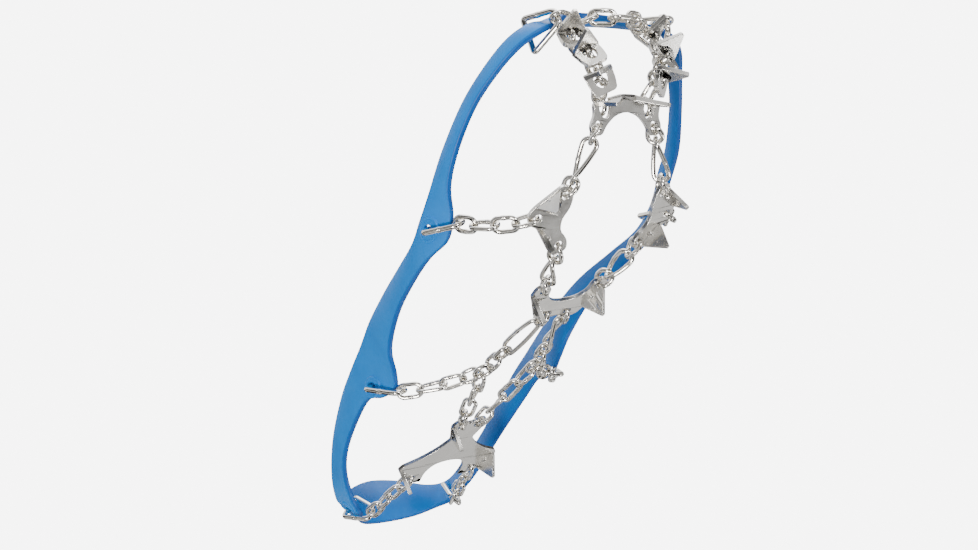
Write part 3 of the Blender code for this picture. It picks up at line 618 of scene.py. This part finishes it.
def build_plates(steel):
    run, rise = (b - a for a, b in zip(*ARCH_BEND))
    arch_lean = math.atan2(rise, run)
    outlines = [fillet(with_mirror(ARCH_HALF))]
    spikes = []
    for side, sign in SIDES.items():
        outlines.append(circle(*flip(ARCH_FEET, side), HOLE_R))
        u, v = flip(ARCH_DEES, side)
        outlines.append(d_hole(u, v + ARCH_DEE_BACK, *ARCH_DEE, arch_lean * sign))
        bend = (*(flip(p, side) for p in ARCH_BEND), (0, -1))
        spikes.append((bend, ARCH_TIP_SHIFT, ARCH_OPENING_SHIFT))
    spiked_plate("arch_plate", outlines, spikes, ARCH_FRAME, steel)

    for side, sign in SIDES.items():
        outlines = [fillet([(*side_local(p, side), p[2]) for p in SIDE_OUTLINE])]
        for hole in (SIDE_TOP, SIDE_OUTER, SIDE_LOW):
            outlines.append(circle(*side_local(hole, side), HOLE_R))
        spikes = [
            ((side_local(a, side), side_local(b, side), (-sign, inward)), 0.0, None)
            for (a, b), inward in zip(SIDE_BENDS, (-1, 1))
        ]
        spiked_plate(f"side_plate_{side}", outlines, spikes, side_matrix(side), steel)

    neck = [((*HEEL_NECK_BEND, (-1, 0)), 0.0, None)]
    for name, half, holes, bend, more, matrix in (
        ("rear_plate", REAR_HALF, (REAR_TOP, REAR_LOW), REAR_BEND, [], REAR_FRAME),
        ("heel_plate", HEEL_HALF, (HEEL_FRONT, HEEL_FEET), HEEL_BEND, neck, HEEL_FRAME),
    ):
        outlines = [fillet(with_mirror(half))]
        spikes = []
        for side, sign in SIDES.items():
            outlines += [circle(*flip(hole, side), HOLE_R) for hole in holes]
            spikes.append(((*(flip(p, side) for p in bend), (-sign, 0)), 0.0, None))
        spiked_plate(name, outlines, spikes + more, matrix, steel)

    for side in SIDES:
        for number in range(len(TOE_PLATES)):
            outlines = [fillet(with_mirror(TOE_HALF)), d_hole(0, TOE_DEE_V, *TOE_DEE)]
            half = TOE_HALF[0][0]
            bend = ((-half, TOE_BEND_V), (half, TOE_BEND_V), (0, -1))
            name = f"toe_plate_{side}_{number + 1}"
            spiked_plate(name, outlines, [(bend, 0.0, 0.0)], toe_matrix(number, side), steel)


# ---------------------------------------------------------------- wire

# Places along the wire from the middle of a weld, and the wire's girth there
WELD = ((-1.1, 1.0), (-0.75, 1.05), (-0.4, 1.13), (-0.12, 1.1), (0.0, 1.03), (0.12, 1.1),
        (0.4, 1.13), (0.75, 1.05), (1.1, 1.0))  # fmt: skip
WELD_RUN = 2.6  # length of wire that a whole weld needs
WELD_LEAST = 1.2  # a shorter straight has none


def straight(start, end, count, weld):
    """Shares of the way from start to end with the wire's girth, and a weld in the middle."""
    places = [(start + (end - start) * k / count, 1.0) for k in range(1, count)]
    reach = abs(end - start)
    if not weld or reach < WELD_LEAST:
        return places
    middle = (start + end) / 2
    sign = 1 if end > start else -1
    fit = min(1.0, reach / WELD_RUN)
    swell = [(middle + sign * place * fit, girth) for place, girth in WELD]
    outside = [p for p in places if abs(p[0] - middle) > WELD_RUN / 2 * fit]
    return sorted(outside + swell, key=lambda p: p[0] * sign)


def link_path(start, end, up_start, up_end, half_width):
    """Middle line of a link between its two tips.  Its width turns from up_start to up_end."""
    axis = (end - start).normalized()
    length = (end - start).length
    up, last = square_to(axis, up_start), square_to(axis, up_end)
    twist = math.atan2(axis.dot(up.cross(last)), up.dot(last))
    bow = min(half_width, length / 2)
    bends = [math.radians(a) for a in range(-90, 91, 15)]
    first = [(bow * (1 - math.cos(a)), math.sin(a), 1.0) for a in bends]
    second = [(length - s, w, g) for s, w, g in reversed(first)]
    count = 8 if abs(twist) > 0.3 else 4
    there = [(s, 1.0, g) for s, g in straight(bow, length - bow, count, False)]
    back = [(s, -1.0, g) for s, g in straight(length - bow, bow, count, True)]
    path = []
    for s, w, girth in first + there + second + back:
        turn = Matrix.Rotation(twist * s / length, 3, axis)
        path.append((start + axis * s + (turn @ up) * (w * half_width), girth))
    return path


def rounded(corners, steps=7):
    """A closed path in space whose corners (point, run) are rounded, with a weld on one side."""
    path = []
    count = len(corners)
    for i, (here, run) in enumerate(corners):
        ends = []
        for j in (i - 1, (i + 1) % count):
            side = corners[j][0] - here
            ends.append(here + side.normalized() * run)
        path += [(bent(ends[0], here, ends[1], k / steps), 1.0) for k in range(steps + 1)]
        if i == 0:
            after, run_after = corners[1]
            way = (after - here).normalized()
            reach = (after - here).length
            for s, girth in straight(run, reach - run_after, 6, True):
                path.append((here + way * s, girth))
    return path


def turned(vector, axis, degrees):
    return Matrix.Rotation(math.radians(degrees), 3, axis) @ vector


def joint_points(start, end, via, shares):
    """Points on the bent line from start to end, so far apart as the shares say."""
    samples = [bent(start, via, end, k / 100) for k in range(101)]
    reach = [0.0]
    for a, b in zip(samples, samples[1:]):
        reach.append(reach[-1] + (b - a).length)
    points, run = [start], 0.0
    for share in shares[:-1]:
        run += share / sum(shares) * reach[-1]
        points.append(next(p for p, r in zip(samples, reach) if r >= run))
    return points + [end]


def put_links(node, paths, steel):
    """The links of one CAD node, each as its own piece of wire."""
    for number, path in enumerate(paths, 1):
        link = tube(f"{node}_link_{number}", path, WIRE_R, steel, LINK_SIDES)
        place_on(link, node, "bright_steel", *([node] if number == 1 else []))


# Each run of chain: its CAD nodes with their numbers of links, the links' lengths, their half
# width, and how far each one twists on the left side
RUNS = {
    "arch": ((("long", 2), ("end", 1)), (7.8, 21.0, 8.6), 3.2, (45, 90, 45)),
    "side": ((("long", 2), ("end", 1)), (8.0, 14.0, 7.6), 3.2, (-45, -90, -45)),
    "forefoot": ((("outer", 2), ("inner", 2)), (9.5, 11.5, 11.0, 10.0), 3.2, (0, 0, 0, 0)),
    "waist": ((("long", 2), ("junction", 2)), (8.0, 25.0, 9.0, 9.0), 2.8, (0, 90, 0, 0)),
    "heel_side": ((("outer", 2), ("inner", 2)), (11.0, 13.0, 11.0, 9.0), 3.0, (0, 0, 0, 0)),
    "heel_front": ((("outer", 2), ("inner", 2)), (10.0, 11.0, 11.0, 9.0), LINK_W, (0, 0, 0, 0)),
    "rear": ((("inner", 2), ("outer", 2)), (9.5, 10.0, 9.0, 9.0), LINK_W, (0, 0, 0, 0)),
}
FUSE = 0.45  # how deep the CAD links of one node run into each other
TOUCH = 0.02  # how deep two wires of the visual model press together
FLATTEST = 0.8  # the least that a bend in the chain may shorten a hook to


def leaned(hook, one, other):
    """How far a link's tip reaches past a joint where the chain bends."""
    return hook / max(FLATTEST, math.cos(one.angle(other) / 2)) ** 2


def chain(run, side, tips, ups, steel, via=None, tail=()):
    """One of RUNS in a line between two tips.

    Each link turns by its own twist, and by an even share of what is left over, so that both
    ends come out right.  tail is one more wire loop that goes with the last node.
    """
    names, lengths, half_width, twists = RUNS[run]
    twists = [twist * SIDES[side] for twist in twists]
    start, end = tips
    joined = []
    for _, links in names:
        joined += [True] * (links - 1) + [False]
    joined.pop()
    hooks = [WIRE_R - FUSE / 2 if fused else WIRE_R + GAP / 2 for fused in joined]
    shares = []
    for number, length in enumerate(lengths):
        shares.append(length - sum(hooks[max(0, number - 1) : number + 1]))
    points = joint_points(start, end, via or (start + end) / 2, shares)
    axes = [(b - a).normalized() for a, b in zip(points, points[1:])]
    hooks = [WIRE_R - TOUCH if fused else hook for fused, hook in zip(joined, hooks)]
    hooks = [leaned(hook, a, b) for hook, a, b in zip(hooks, axes, axes[1:])]
    first = square_to(axes[0], ups[0])
    last = square_to(axes[-1], ups[1])
    carried = first
    for axis in axes:
        carried = square_to(axis, carried)
    wanted = math.degrees(math.atan2(axes[-1].dot(carried.cross(last)), carried.dot(last)))
    reached = sum(twists) + 90 * (len(lengths) - 1)
    share = ((wanted - reached + 90) % 180 - 90) / len(lengths)
    angle, loops = 0.0, []
    level = first
    for number, axis in enumerate(axes):
        level = square_to(axis, level)
        tip_a = points[number] - (axis * hooks[number - 1] if number else Vector())
        tip_b = points[number + 1] + (axis * hooks[number] if number < len(hooks) else Vector())
        up_a = turned(level, axis, angle)
        angle += twists[number] + share
        up_b = turned(level, axis, angle)
        loops.append(link_path(tip_a, tip_b, up_a, up_b, half_width))
        angle += 90
    count = 0
    for name, links in names:
        group = loops[count : count + links]
        count += links
        if tail and count == len(loops):
            group.append(tail)
        put_links(f"{run}_chain_{side}_{name}", group, steel)


RING_LEAN = 0.3  # share of the way out of the rubber's wall that a ring keeps


def wall(name, side):
    """Middle of the rubber wall at an eyelet, and its outward normal."""
    station, height = EYELETS[name][:2]
    before, here, after = (
        Vector(low).lerp(Vector(high), height) for low, high in BAND_HALF[station - 1 : station + 2]
    )
    across = Vector(BAND_HALF[station][1]) - Vector(BAND_HALF[station][0])
    normal = (after - before).cross(across).normalized()
    return mirrored(here + normal * BAND_T / 2, side), mirrored(normal, side)


def ring_axes(name, side):
    """Middle of the wide bar, the far end, the ring's direction, and the way its bar runs."""
    if name == "toe":
        eyelet, far, bar = (mirrored(p, side) for p in TOE_RING)
        along = (far - eyelet).normalized()
        return eyelet, far, along, square_to(along, bar)
    eyelet, normal = wall(name, side)
    length, reach = EYELETS[name][2:]
    along = (mirrored(reach, side) - eyelet).normalized()
    along = (along - normal * (along.dot(normal) * (1 - RING_LEAN))).normalized()
    return eyelet, eyelet + along * length, along, square_to(along, normal)


def build_rings(steel):
    """The heavier wire rings that join the chain to the rubber."""
    for name in ("toe", *EYELETS):
        wide = TOE_RING_WIDE if name == "toe" else RING_WIDE
        for side in SIDES:
            eyelet, far, along, bar = ring_axes(name, side)
            length = (far - eyelet).length
            half = [(0.0, wide, 1.8), (length, RING_NARROW + 0.2, 2.6)]
            corners = [(eyelet + along * s + bar * w, run) for s, w, run in half]
            corners += [(eyelet + along * s - bar * w, run) for s, w, run in reversed(half)]
            node = f"{name}_ring_{side}"
            ring = tube(node + "_wire", rounded(corners), RING_WIRE_R, steel, RING_SIDES)
            place_on(ring, node, "bright_steel", node)


def ring_tip(name, side, towards):
    """Tip of a link that hangs in a ring, and the way it must stand there."""
    _, far, _, bar = ring_axes(name, side)
    way = (towards - far).normalized()
    pull = square_to(bar, way)
    return far - pull * (WIRE_R + RING_WIRE_R + GAP), bar.cross(way).normalized()


JUNCTION_GAP = 0.45
JUNCTION_POINTS = 40


def junction_tip(side, towards, fused=False):
    """Tip of a link that hangs in the junction ring."""
    centre = mirrored(JUNCTION, side)
    way = (towards - centre).normalized()
    return centre + way * (JUNCTION_R - 2 * WIRE_R - (-FUSE if fused else JUNCTION_GAP))


def junction_loop(side):
    centre = mirrored(JUNCTION, side)
    turns = [2 * math.pi * k / JUNCTION_POINTS for k in range(JUNCTION_POINTS)]
    return [(centre + Vector((math.cos(t), math.sin(t), 0)) * JUNCTION_R, 1.0) for t in turns]


def level_via(plate, hole, towards, reach):
    """A point out from a hole in its plate's own plane, on the way to a far point."""
    p = local(plate, hole)
    normal = (plate.to_3x3() @ Vector((0, 0, 1))).normalized()
    return p + square_to(normal, towards - p) * reach


# How far a run keeps to its plate's plane before it turns to its other end
ARCH_SWEEP, SIDE_SWEEP, FOREFOOT_SWEEP = 9.0, 8.0, 13.0
HEEL_SIDE_RISE = 1.5  # of the middle of that run over the junction


def build_chains(steel):
    up = Vector((0, 0, 1))
    arch_up = ARCH_FRAME.to_3x3() @ up
    for side in SIDES:
        side_frame = side_matrix(side)
        side_up = side_frame.to_3x3() @ up
        foot = local(ARCH_FRAME, flip(ARCH_FEET, side))
        top, outer, low = (
            local(side_frame, side_local(p, side)) for p in (SIDE_TOP, SIDE_OUTER, SIDE_LOW)
        )
        rear_top, rear_low = (local(REAR_FRAME, flip(p, side)) for p in (REAR_TOP, REAR_LOW))
        front, feet = (local(HEEL_FRAME, flip(p, side)) for p in (HEEL_FRONT, HEEL_FEET))

        via = level_via(side_frame, side_local(SIDE_TOP, side), foot, ARCH_SWEEP)
        chain("arch", side, (foot, top), (arch_up, side_up), steel, via)
        via = level_via(side_frame, side_local(SIDE_LOW, side), rear_top, SIDE_SWEEP)
        chain("side", side, (low, rear_top), (side_up, up), steel, via)

        tip, stand = ring_tip("forefoot", side, outer)
        via = level_via(side_frame, side_local(SIDE_OUTER, side), tip, FOREFOOT_SWEEP)
        chain("forefoot", side, (tip, outer), (stand, side_up), steel, via)

        tips = (rear_low, junction_tip(side, rear_low, True))
        chain("waist", side, tips, (up, up), steel, tail=junction_loop(side))

        centre = mirrored(JUNCTION, side)
        tip, stand = ring_tip("heel_side", side, centre)
        via = (tip + centre) / 2
        via.z = centre.z + HEEL_SIDE_RISE
        chain("heel_side", side, (tip, junction_tip(side, tip)), (stand, up), steel, via)
        chain("heel_front", side, (junction_tip(side, front), front), (up, up), steel)
        tip, stand = ring_tip("rear", side, feet)
        chain("rear", side, (feet, tip), (up, stand), steel)
    build_toe_chains(steel)


PLATE_LINK_W = 2.6  # half width
PLATE_LINK = ((-1.5, 0.2), (4.0, 4.5))  # ends of a toe plate's own link, y and z in its frame
FIRST_LINK = ((-1.5, 0.6), (11.0, 0.9))
BACK_LINK = ((-0.1, 2.3), (2.2, 3.1))  # the link behind: end here, and end at the next plate
LAST_LINK_ON = 0.7  # how much further it goes at the arch plate
TOP_LINK_UP, TOP_LINK_W = (0.0, 0.8, 0.6), 2.8


def arch_dee_frame(side):
    """Frame like a toe plate's, at the arch plate's D-hole."""
    return ARCH_FRAME @ Matrix.Translation(
        Vector((ARCH_DEES[0] * SIDES[side], ARCH_DEES[1] + 0.6, 0)) * MM
    )


def build_toe_chains(steel):
    """The run from the toe ring through the three toe plates to the arch plate."""
    across, out = Vector((1, 0, 0)), Vector((0, 0, 1))
    for side in SIDES:
        frames = [toe_matrix(number, side) for number in range(len(TOE_PLATES))]
        frames.append(arch_dee_frame(side))
        paths = []
        for number, frame in enumerate(frames):
            ends = PLATE_LINK if number else FIRST_LINK
            bottom, top = (local(frame, (0, y), z) for y, z in ends)
            way = (frame.to_3x3() @ out).normalized()
            paths.append(link_path(top, bottom, way, way, PLATE_LINK_W))
            if number + 1 == len(frames):
                break
            after = frames[number + 1]
            last = number + 2 == len(frames)
            start = local(frame, (0, BACK_LINK[0][0]), BACK_LINK[0][1])
            further = LAST_LINK_ON if last else 0
            end = local(after, (0, BACK_LINK[1][0] + further), BACK_LINK[1][1])
            ways = (frame.to_3x3() @ across, after.to_3x3() @ across)
            paths.append(link_path(start, end, *ways, LINK_W))
        for number, group in enumerate((paths[:2], paths[2:4], paths[4:]), 1):
            put_links(f"toe_chain_{side}_{number}", group, steel)
    build_cross_chain(steel)


CROSS_TILT = 37.0  # turn of the first cross link about its own line, from level
CROSS_WIDTHS = (3.3, 2.8, 2.8, 2.8, 3.3)  # half widths
CROSS_FUSED = {(0, 0), (1, 1), (2, 0), (2, 1), (3, 0), (4, 1)}  # link number, and which end


def build_cross_chain(steel):
    """The run over the front of the toe, from one toe ring to the other."""
    points = [Vector(p) for p in TOE_CROSS]
    up = Vector((0, 0, 1))
    axes = [(b - a).normalized() for a, b in zip(points, points[1:])]
    loops = []
    for k, axis in enumerate(axes):
        tips = []
        for n in (0, 1):
            hook = WIRE_R - TOUCH if (k, n) in CROSS_FUSED else WIRE_R + GAP
            if 0 < k + n < len(axes):
                hook = leaned(hook, axes[k + n - 1], axes[k + n])
            tips.append(points[k + n] + axis * hook * (2 * n - 1))
        way = turned(axis.cross(up).normalized(), axis, CROSS_TILT + 90 * (k % 2))
        loops.append(link_path(*tips, way, way, CROSS_WIDTHS[k]))
    ends = []
    for side, inner in (("left", points[0]), ("right", points[-1])):
        tip, stand = ring_tip("toe", side, inner)
        axis = (inner - tip).normalized()
        if stand.y < 0:
            stand.negate()
        last = inner + axis * (WIRE_R - TOUCH)
        ends.append(link_path(tip, last, stand, mirrored(TOP_LINK_UP, side), TOP_LINK_W))
    put_links("cross_chain_left", [ends[0], loops[0]], steel)
    put_links("cross_chain_middle", loops[1:4], steel)
    put_links("cross_chain_right", [loops[4], ends[1]], steel)


# ---------------------------------------------------------------- rubber harness

# Half of the band, from the back of the heel to the middle of the toe: its lower and upper
# edge on the boot's surface.  The lower edge dips into a tongue at each eyelet.
BAND_HALF = (
    ((0.0, -9.0, 8.0), (0.0, -12.0, 34.0)),
    ((14.0, -6.5, 7.5), (13.5, -9.0, 30.0)),
    ((22.0, 2.5, 6.0), (24.5, -1.5, 21.0)),
    ((25.4, 10.5, 4.6), (32.0, 6.0, 18.0)),
    ((33.0, 21.0, 7.6), (37.6, 18.0, 21.0)),
    ((40.4, 36.0, 13.6), (42.0, 33.0, 25.0)),
    ((44.4, 52.0, 17.6), (45.4, 51.0, 30.0)),
    ((46.4, 74.0, 20.0), (47.6, 72.0, 35.0)),
    ((46.2, 89.0, 20.4), (49.0, 88.0, 37.0)),
    ((44.2, 97.0, 15.6), (49.6, 97.0, 38.0)),
    ((43.0, 107.0, 13.2), (50.0, 105.0, 38.8)),
    ((44.6, 114.0, 16.4), (50.6, 113.0, 39.6)),
    ((49.0, 125.0, 23.0), (51.2, 124.0, 40.6)),
    ((52.2, 146.0, 27.0), (52.8, 145.0, 39.8)),
    ((55.2, 170.0, 25.6), (56.2, 168.0, 36.4)),
    ((56.0, 187.0, 23.8), (59.0, 185.0, 34.2)),
    ((53.4, 199.0, 23.0), (60.4, 197.0, 36.0)),
    ((53.8, 209.0, 27.4), (60.2, 206.0, 38.6)),
    ((57.0, 220.0, 34.0), (58.6, 217.0, 43.0)),
    ((57.0, 234.0, 40.4), (57.8, 228.0, 46.6)),
    ((52.8, 250.0, 48.4), (53.4, 246.0, 54.6)),
    ((46.6, 264.6, 53.4), (47.0, 260.0, 60.4)),
    ((40.6, 275.6, 55.8), (41.2, 271.2, 63.6)),
    ((33.6, 281.8, 57.4), (34.4, 277.4, 65.2)),
    ((26.4, 283.0, 60.4), (27.0, 277.0, 67.2)),
    ((17.6, 281.0, 66.6), (18.0, 272.0, 74.0)),
    ((8.6, 276.4, 74.4), (9.0, 266.2, 80.6)),
    ((0.0, 274.6, 77.0), (0.0, 263.8, 82.6)),
)


def smooth_path(points, steps):
    """A closed Catmull-Rom curve through points."""
    count = len(points)
    path = []
    for i in range(count):
        a, b, c, d = (points[(i + k) % count] for k in (-1, 0, 1, 2))
        for k in range(steps):
            t = k / steps
            path.append(
                0.5 * ((2 * b) + (c - a) * t + (2 * a - 5 * b + 4 * c - d) * t**2
                       + (3 * b - a - 3 * c + d) * t**3)
            )  # fmt: skip
    return path


FACE_STEPS = 7  # faces across the band's outer face
EDGE_R, BACK_R = 1.15, 0.5  # rounding of its outer and inner edges
CROWN = 0.35  # how far the middle of the face stands proud of its edges


def band_section(low, high, normal):
    """Closed outline of the band at one station: each point with its share of painted edge shade.
    """
    width = (high - low).length
    up = (high - low) / width
    edge, top = min(EDGE_R, width / 3), BAND_T - CROWN
    outline = []

    def arc(middle, lift, radius, start, shares):
        for k, share in enumerate(shares):
            a = math.radians(start - 90 * k / (len(shares) - 1))
            place = up * (middle + radius * math.cos(a)) + normal * (lift + radius * math.sin(a))
            outline.append((low + place, share))

    # Shares of painted shade: full on the side walls, fading to none over the rounded outer edges,
    # none on the face, 0.6 on the back
    arc(edge, top - edge, edge, 180, (1.0, 1.0, 0.8, 0.4, 0.0))
    for k in range(1, FACE_STEPS):
        t = k / FACE_STEPS
        place = up * (edge + (width - 2 * edge) * t) + normal * (top + CROWN * 4 * t * (1 - t))
        outline.append((low + place, 0.0))
    arc(width - edge, top - edge, edge, 90, (0.0, 0.4, 0.8, 1.0, 1.0))
    arc(width - BACK_R, BACK_R, BACK_R, 0, (1.0, 0.9, 0.6))
    arc(BACK_R, BACK_R, BACK_R, -90, (0.6, 0.9, 1.0))
    return outline


def build_band(rubber):
    """The harness: a closed rounded strip between its edges, with an oval rim at each eyelet."""
    half = [(Vector(low), Vector(high)) for low, high in BAND_HALF]
    back = [(mirrored(low, "right"), mirrored(high, "right")) for low, high in half[-2:0:-1]]
    stations = half + back
    lows = smooth_path([low for low, _ in stations], BAND_STEPS)
    highs = smooth_path([high for _, high in stations], BAND_STEPS)
    count = len(lows)
    bm = bmesh.new()
    # Each point's share of painted shade, read by blue_rubber through its edge attribute
    share = bm.verts.layers.float.new("edge")
    rows = []
    for k, (low, high) in enumerate(zip(lows, highs)):
        way = (lows[(k + 1) % count] + highs[(k + 1) % count]) - (lows[k - 1] + highs[k - 1])
        normal = way.cross(high - low).normalized()
        row = []
        for place, edge in band_section(low, high, normal):
            vert = bm.verts.new(world(*place))
            vert[share] = edge
            row.append(vert)
        rows.append(row)
    skin(bm, rows)
    band = new_object("harness_band_strip", bm, rubber, angle=50)
    bpy.context.view_layer.update()
    surface = BVHTree.FromObject(band, bpy.context.evaluated_depsgraph_get())
    cutters = []
    for name in EYELETS:
        for side in SIDES:
            eyelet, _, _, bar = ring_axes(name, side)
            bm = bmesh.new()
            bmesh.ops.create_cone(
                bm, cap_ends=True, segments=40, radius1=EYELET_R * MM, radius2=EYELET_R * MM,
                depth=BAND_T * 6 * MM,
            )  # fmt: skip
            turn = bar.to_track_quat("Z", "Y").to_matrix().to_4x4()
            place = Matrix.Translation(world(*eyelet)) @ turn
            cutters.append(new_object("eyelet", bm, rubber, place))
            boolean(band, cutters[-1], "DIFFERENCE")
    place_on(applied(band, *cutters), "harness", "blue_rubber", "harness_band")
    for name in EYELETS:
        for side in SIDES:
            build_rim(name, side, surface, rubber)


RIM_LONG, RIM_WIDE, RIM_R = 5.6, 3.9, 0.85
RIM_SINK = 0.3  # how deep the bead's middle lies in the rubber
RIM_POINTS = 56


def build_rim(name, side, surface, rubber):
    """The oval bead moulded round an eyelet, laid on the outside of the band."""
    low, high = (mirrored(p, side) for p in BAND_HALF[EYELETS[name][0]])
    middle, normal = wall(name, side)
    up = (high - low).normalized()
    along = normal.cross(up).normalized()
    path = []
    for k in range(RIM_POINTS):
        t = 2 * math.pi * k / RIM_POINTS
        place = middle + along * (RIM_LONG * math.cos(t)) + up * (RIM_WIDE * math.sin(t))
        found = surface.ray_cast(world(*(place + normal * 3 * BAND_T)), -normal)[0]
        if found is not None:
            path.append((unworld(found) - normal * RIM_SINK, 1.0))
    rim = tube(f"harness_rim_{name}_{side}", path, RIM_R, rubber, RIM_SIDES)
    place_on(rim, "harness", "blue_rubber")


# ---------------------------------------------------------------- studio

FLOOR_SIZE = 3.0
FLOOR_COLOUR = (0.86, 0.87, 0.88)
CAMERA_PLACE = (386.6, 604.1, -302.5)
CAMERA_RIGHT = (-0.8209, 0.4124, -0.3950)
CAMERA_FORWARD = (-0.5689, -0.6513, 0.5021)
CAMERA_LENS, CAMERA_SENSOR = 55.5, 36
CAMERA_SHIFT = (-0.0151, -0.0128)


def unseen_from_below(tree, shader):
    """Makes a floor's underside clear, so that it can be looked through from underneath."""
    clear = tree.nodes.new("ShaderNodeBsdfTransparent")
    facing = tree.nodes.new("ShaderNodeNewGeometry")
    choice = tree.nodes.new("ShaderNodeMixShader")
    tree.links.new(facing.outputs["Backfacing"], choice.inputs["Fac"])
    tree.links.new(shader.outputs["BSDF"], choice.inputs[1])
    tree.links.new(clear.outputs["BSDF"], choice.inputs[2])
    tree.links.new(choice.outputs["Shader"], tree.nodes["Material Output"].inputs["Surface"])


def floor_material(name, colour):
    made, tree, shader, place = material(name)
    cloud = noise(tree, 3.0, place, Detail=3.0)
    low = tuple(c * 0.97 for c in colour)
    tint = ramp(tree, cloud, [(0.3, low), (0.7, colour)])
    tree.links.new(tint, shader.inputs["Base Color"])
    shader.inputs["Roughness"].default_value = 0.6
    unseen_from_below(tree, shader)
    return made


def build_floor():
    """The floor that the spikes stand on.  It is clear from below."""
    bm = bmesh.new()
    bmesh.ops.create_grid(bm, x_segments=1, y_segments=1, size=FLOOR_SIZE)
    finish = floor_material("pale_floor", FLOOR_COLOUR)
    floor = new_object("floor", bm, finish, angle=0, closed=False)
    floor.visible_shadow = False
    floor.visible_glossy = False
    floor.visible_diffuse = False


# Name, place, aim, size, power and colour
LIGHTS = (
    ("key", (0.9, 0.35, -0.75), (0, 0.02, 0.03), (0.3, 0.3), 12, (1.0, 0.97, 0.92)),
    ("front", (-0.1, 1.25, -0.35), (0, 0.02, 0.03), (0.3, 0.2), 7, (1, 1, 1)),
    ("under", (-0.7, -0.1, -1.0), (0, 0, 0.03), (0.3, 0.3), 4, (1, 1, 1)),
    ("top", (-0.4, 0.5, 1.4), (0, 0, 0.03), (1.2, 1.2), 16, (1, 1, 1)),
)


def add_area(name, place, target, size, power, colour):
    data = bpy.data.lights.new(name, "AREA")
    data.shape = "RECTANGLE"
    data.size, data.size_y = size
    data.energy = power
    data.color = colour
    light = bpy.data.objects.new(name, data)
    light.location = place
    light.rotation_euler = (Vector(target) - Vector(place)).to_track_quat("-Z", "Y").to_euler()
    bpy.context.scene.collection.objects.link(light)


# Height of a direction, from below to above, and the brightness seen there
STUDIO_BANDS = [
    (0.0, 0.9), (0.08, 0.02), (0.16, 0.03), (0.22, 1.1), (0.30, 0.9), (0.36, 0.02),
    (0.46, 0.03), (0.54, 1.2), (0.64, 0.06), (0.76, 0.08), (0.84, 1.5), (1.0, 1.2),
]  # fmt: skip
BAND_LIFT = 0.35  # place among the bands of a level direction, without the sway
BAND_SWAY = 0.3  # how far the bands wander up and down
BACKDROP = 7.0  # brightness of the room where the camera sees it straight


def build_world():
    """A studio in bands of white and dark from floor to ceiling, for the steel to reflect."""
    room = bpy.data.worlds.new("studio")
    bpy.context.scene.world = room
    room.use_nodes = True
    tree = room.node_tree
    place = tree.nodes.new("ShaderNodeTexCoord").outputs["Generated"]
    soft = noise(tree, 1.4, place, Detail=1.0)
    split = tree.nodes.new("ShaderNodeSeparateXYZ")
    tree.links.new(place, split.inputs["Vector"])
    height, sway = tree.nodes.new("ShaderNodeMath"), tree.nodes.new("ShaderNodeMath")
    for node, source, share in ((height, split.outputs["Z"], 0.5), (sway, soft, BAND_SWAY)):
        node.operation = "MULTIPLY_ADD"
        node.inputs[1].default_value = share
        tree.links.new(source, node.inputs[0])
    height.inputs[2].default_value = BAND_LIFT
    tree.links.new(height.outputs["Value"], sway.inputs[2])
    bands = [(height, grey(level)) for height, level in STUDIO_BANDS]
    tone = ramp(tree, sway.outputs["Value"], bands, "EASE")
    path = tree.nodes.new("ShaderNodeLightPath")
    seen = mixed(tree, path.outputs["Is Camera Ray"], tone, grey(BACKDROP))
    tree.links.new(seen, tree.nodes["Background"].inputs["Color"])
    tree.nodes["Background"].inputs["Strength"].default_value = 1.0


def build_camera():
    data = bpy.data.cameras.new("camera")
    data.lens = CAMERA_LENS
    data.sensor_width = CAMERA_SENSOR
    data.clip_start = 0.01
    data.shift_x, data.shift_y = CAMERA_SHIFT
    camera = bpy.data.objects.new("camera", data)
    back = -Vector(CAMERA_FORWARD).normalized()
    right = square_to(back, Vector(CAMERA_RIGHT))
    camera.matrix_world = axes_at(right, back.cross(right), back, world(*CAMERA_PLACE))
    bpy.context.scene.collection.objects.link(camera)
    bpy.context.scene.camera = camera


# ---------------------------------------------------------------- build

ARCH_FRAME = sole_frame(0, ARCH_V, pitch=ARCH_PITCH)
REAR_FRAME = sole_frame(REAR_U, REAR_V, yaw=REAR_YAW)
HEEL_FRAME = sole_frame(HEEL_U, HEEL_V, yaw=HEEL_YAW)

build_camera()
wires = wire_steel()
build_band(blue_rubber())
build_plates(sheet_steel())
build_rings(wires)
build_chains(wires)
build_floor()
build_world()
for light in LIGHTS:
    add_area(*light)
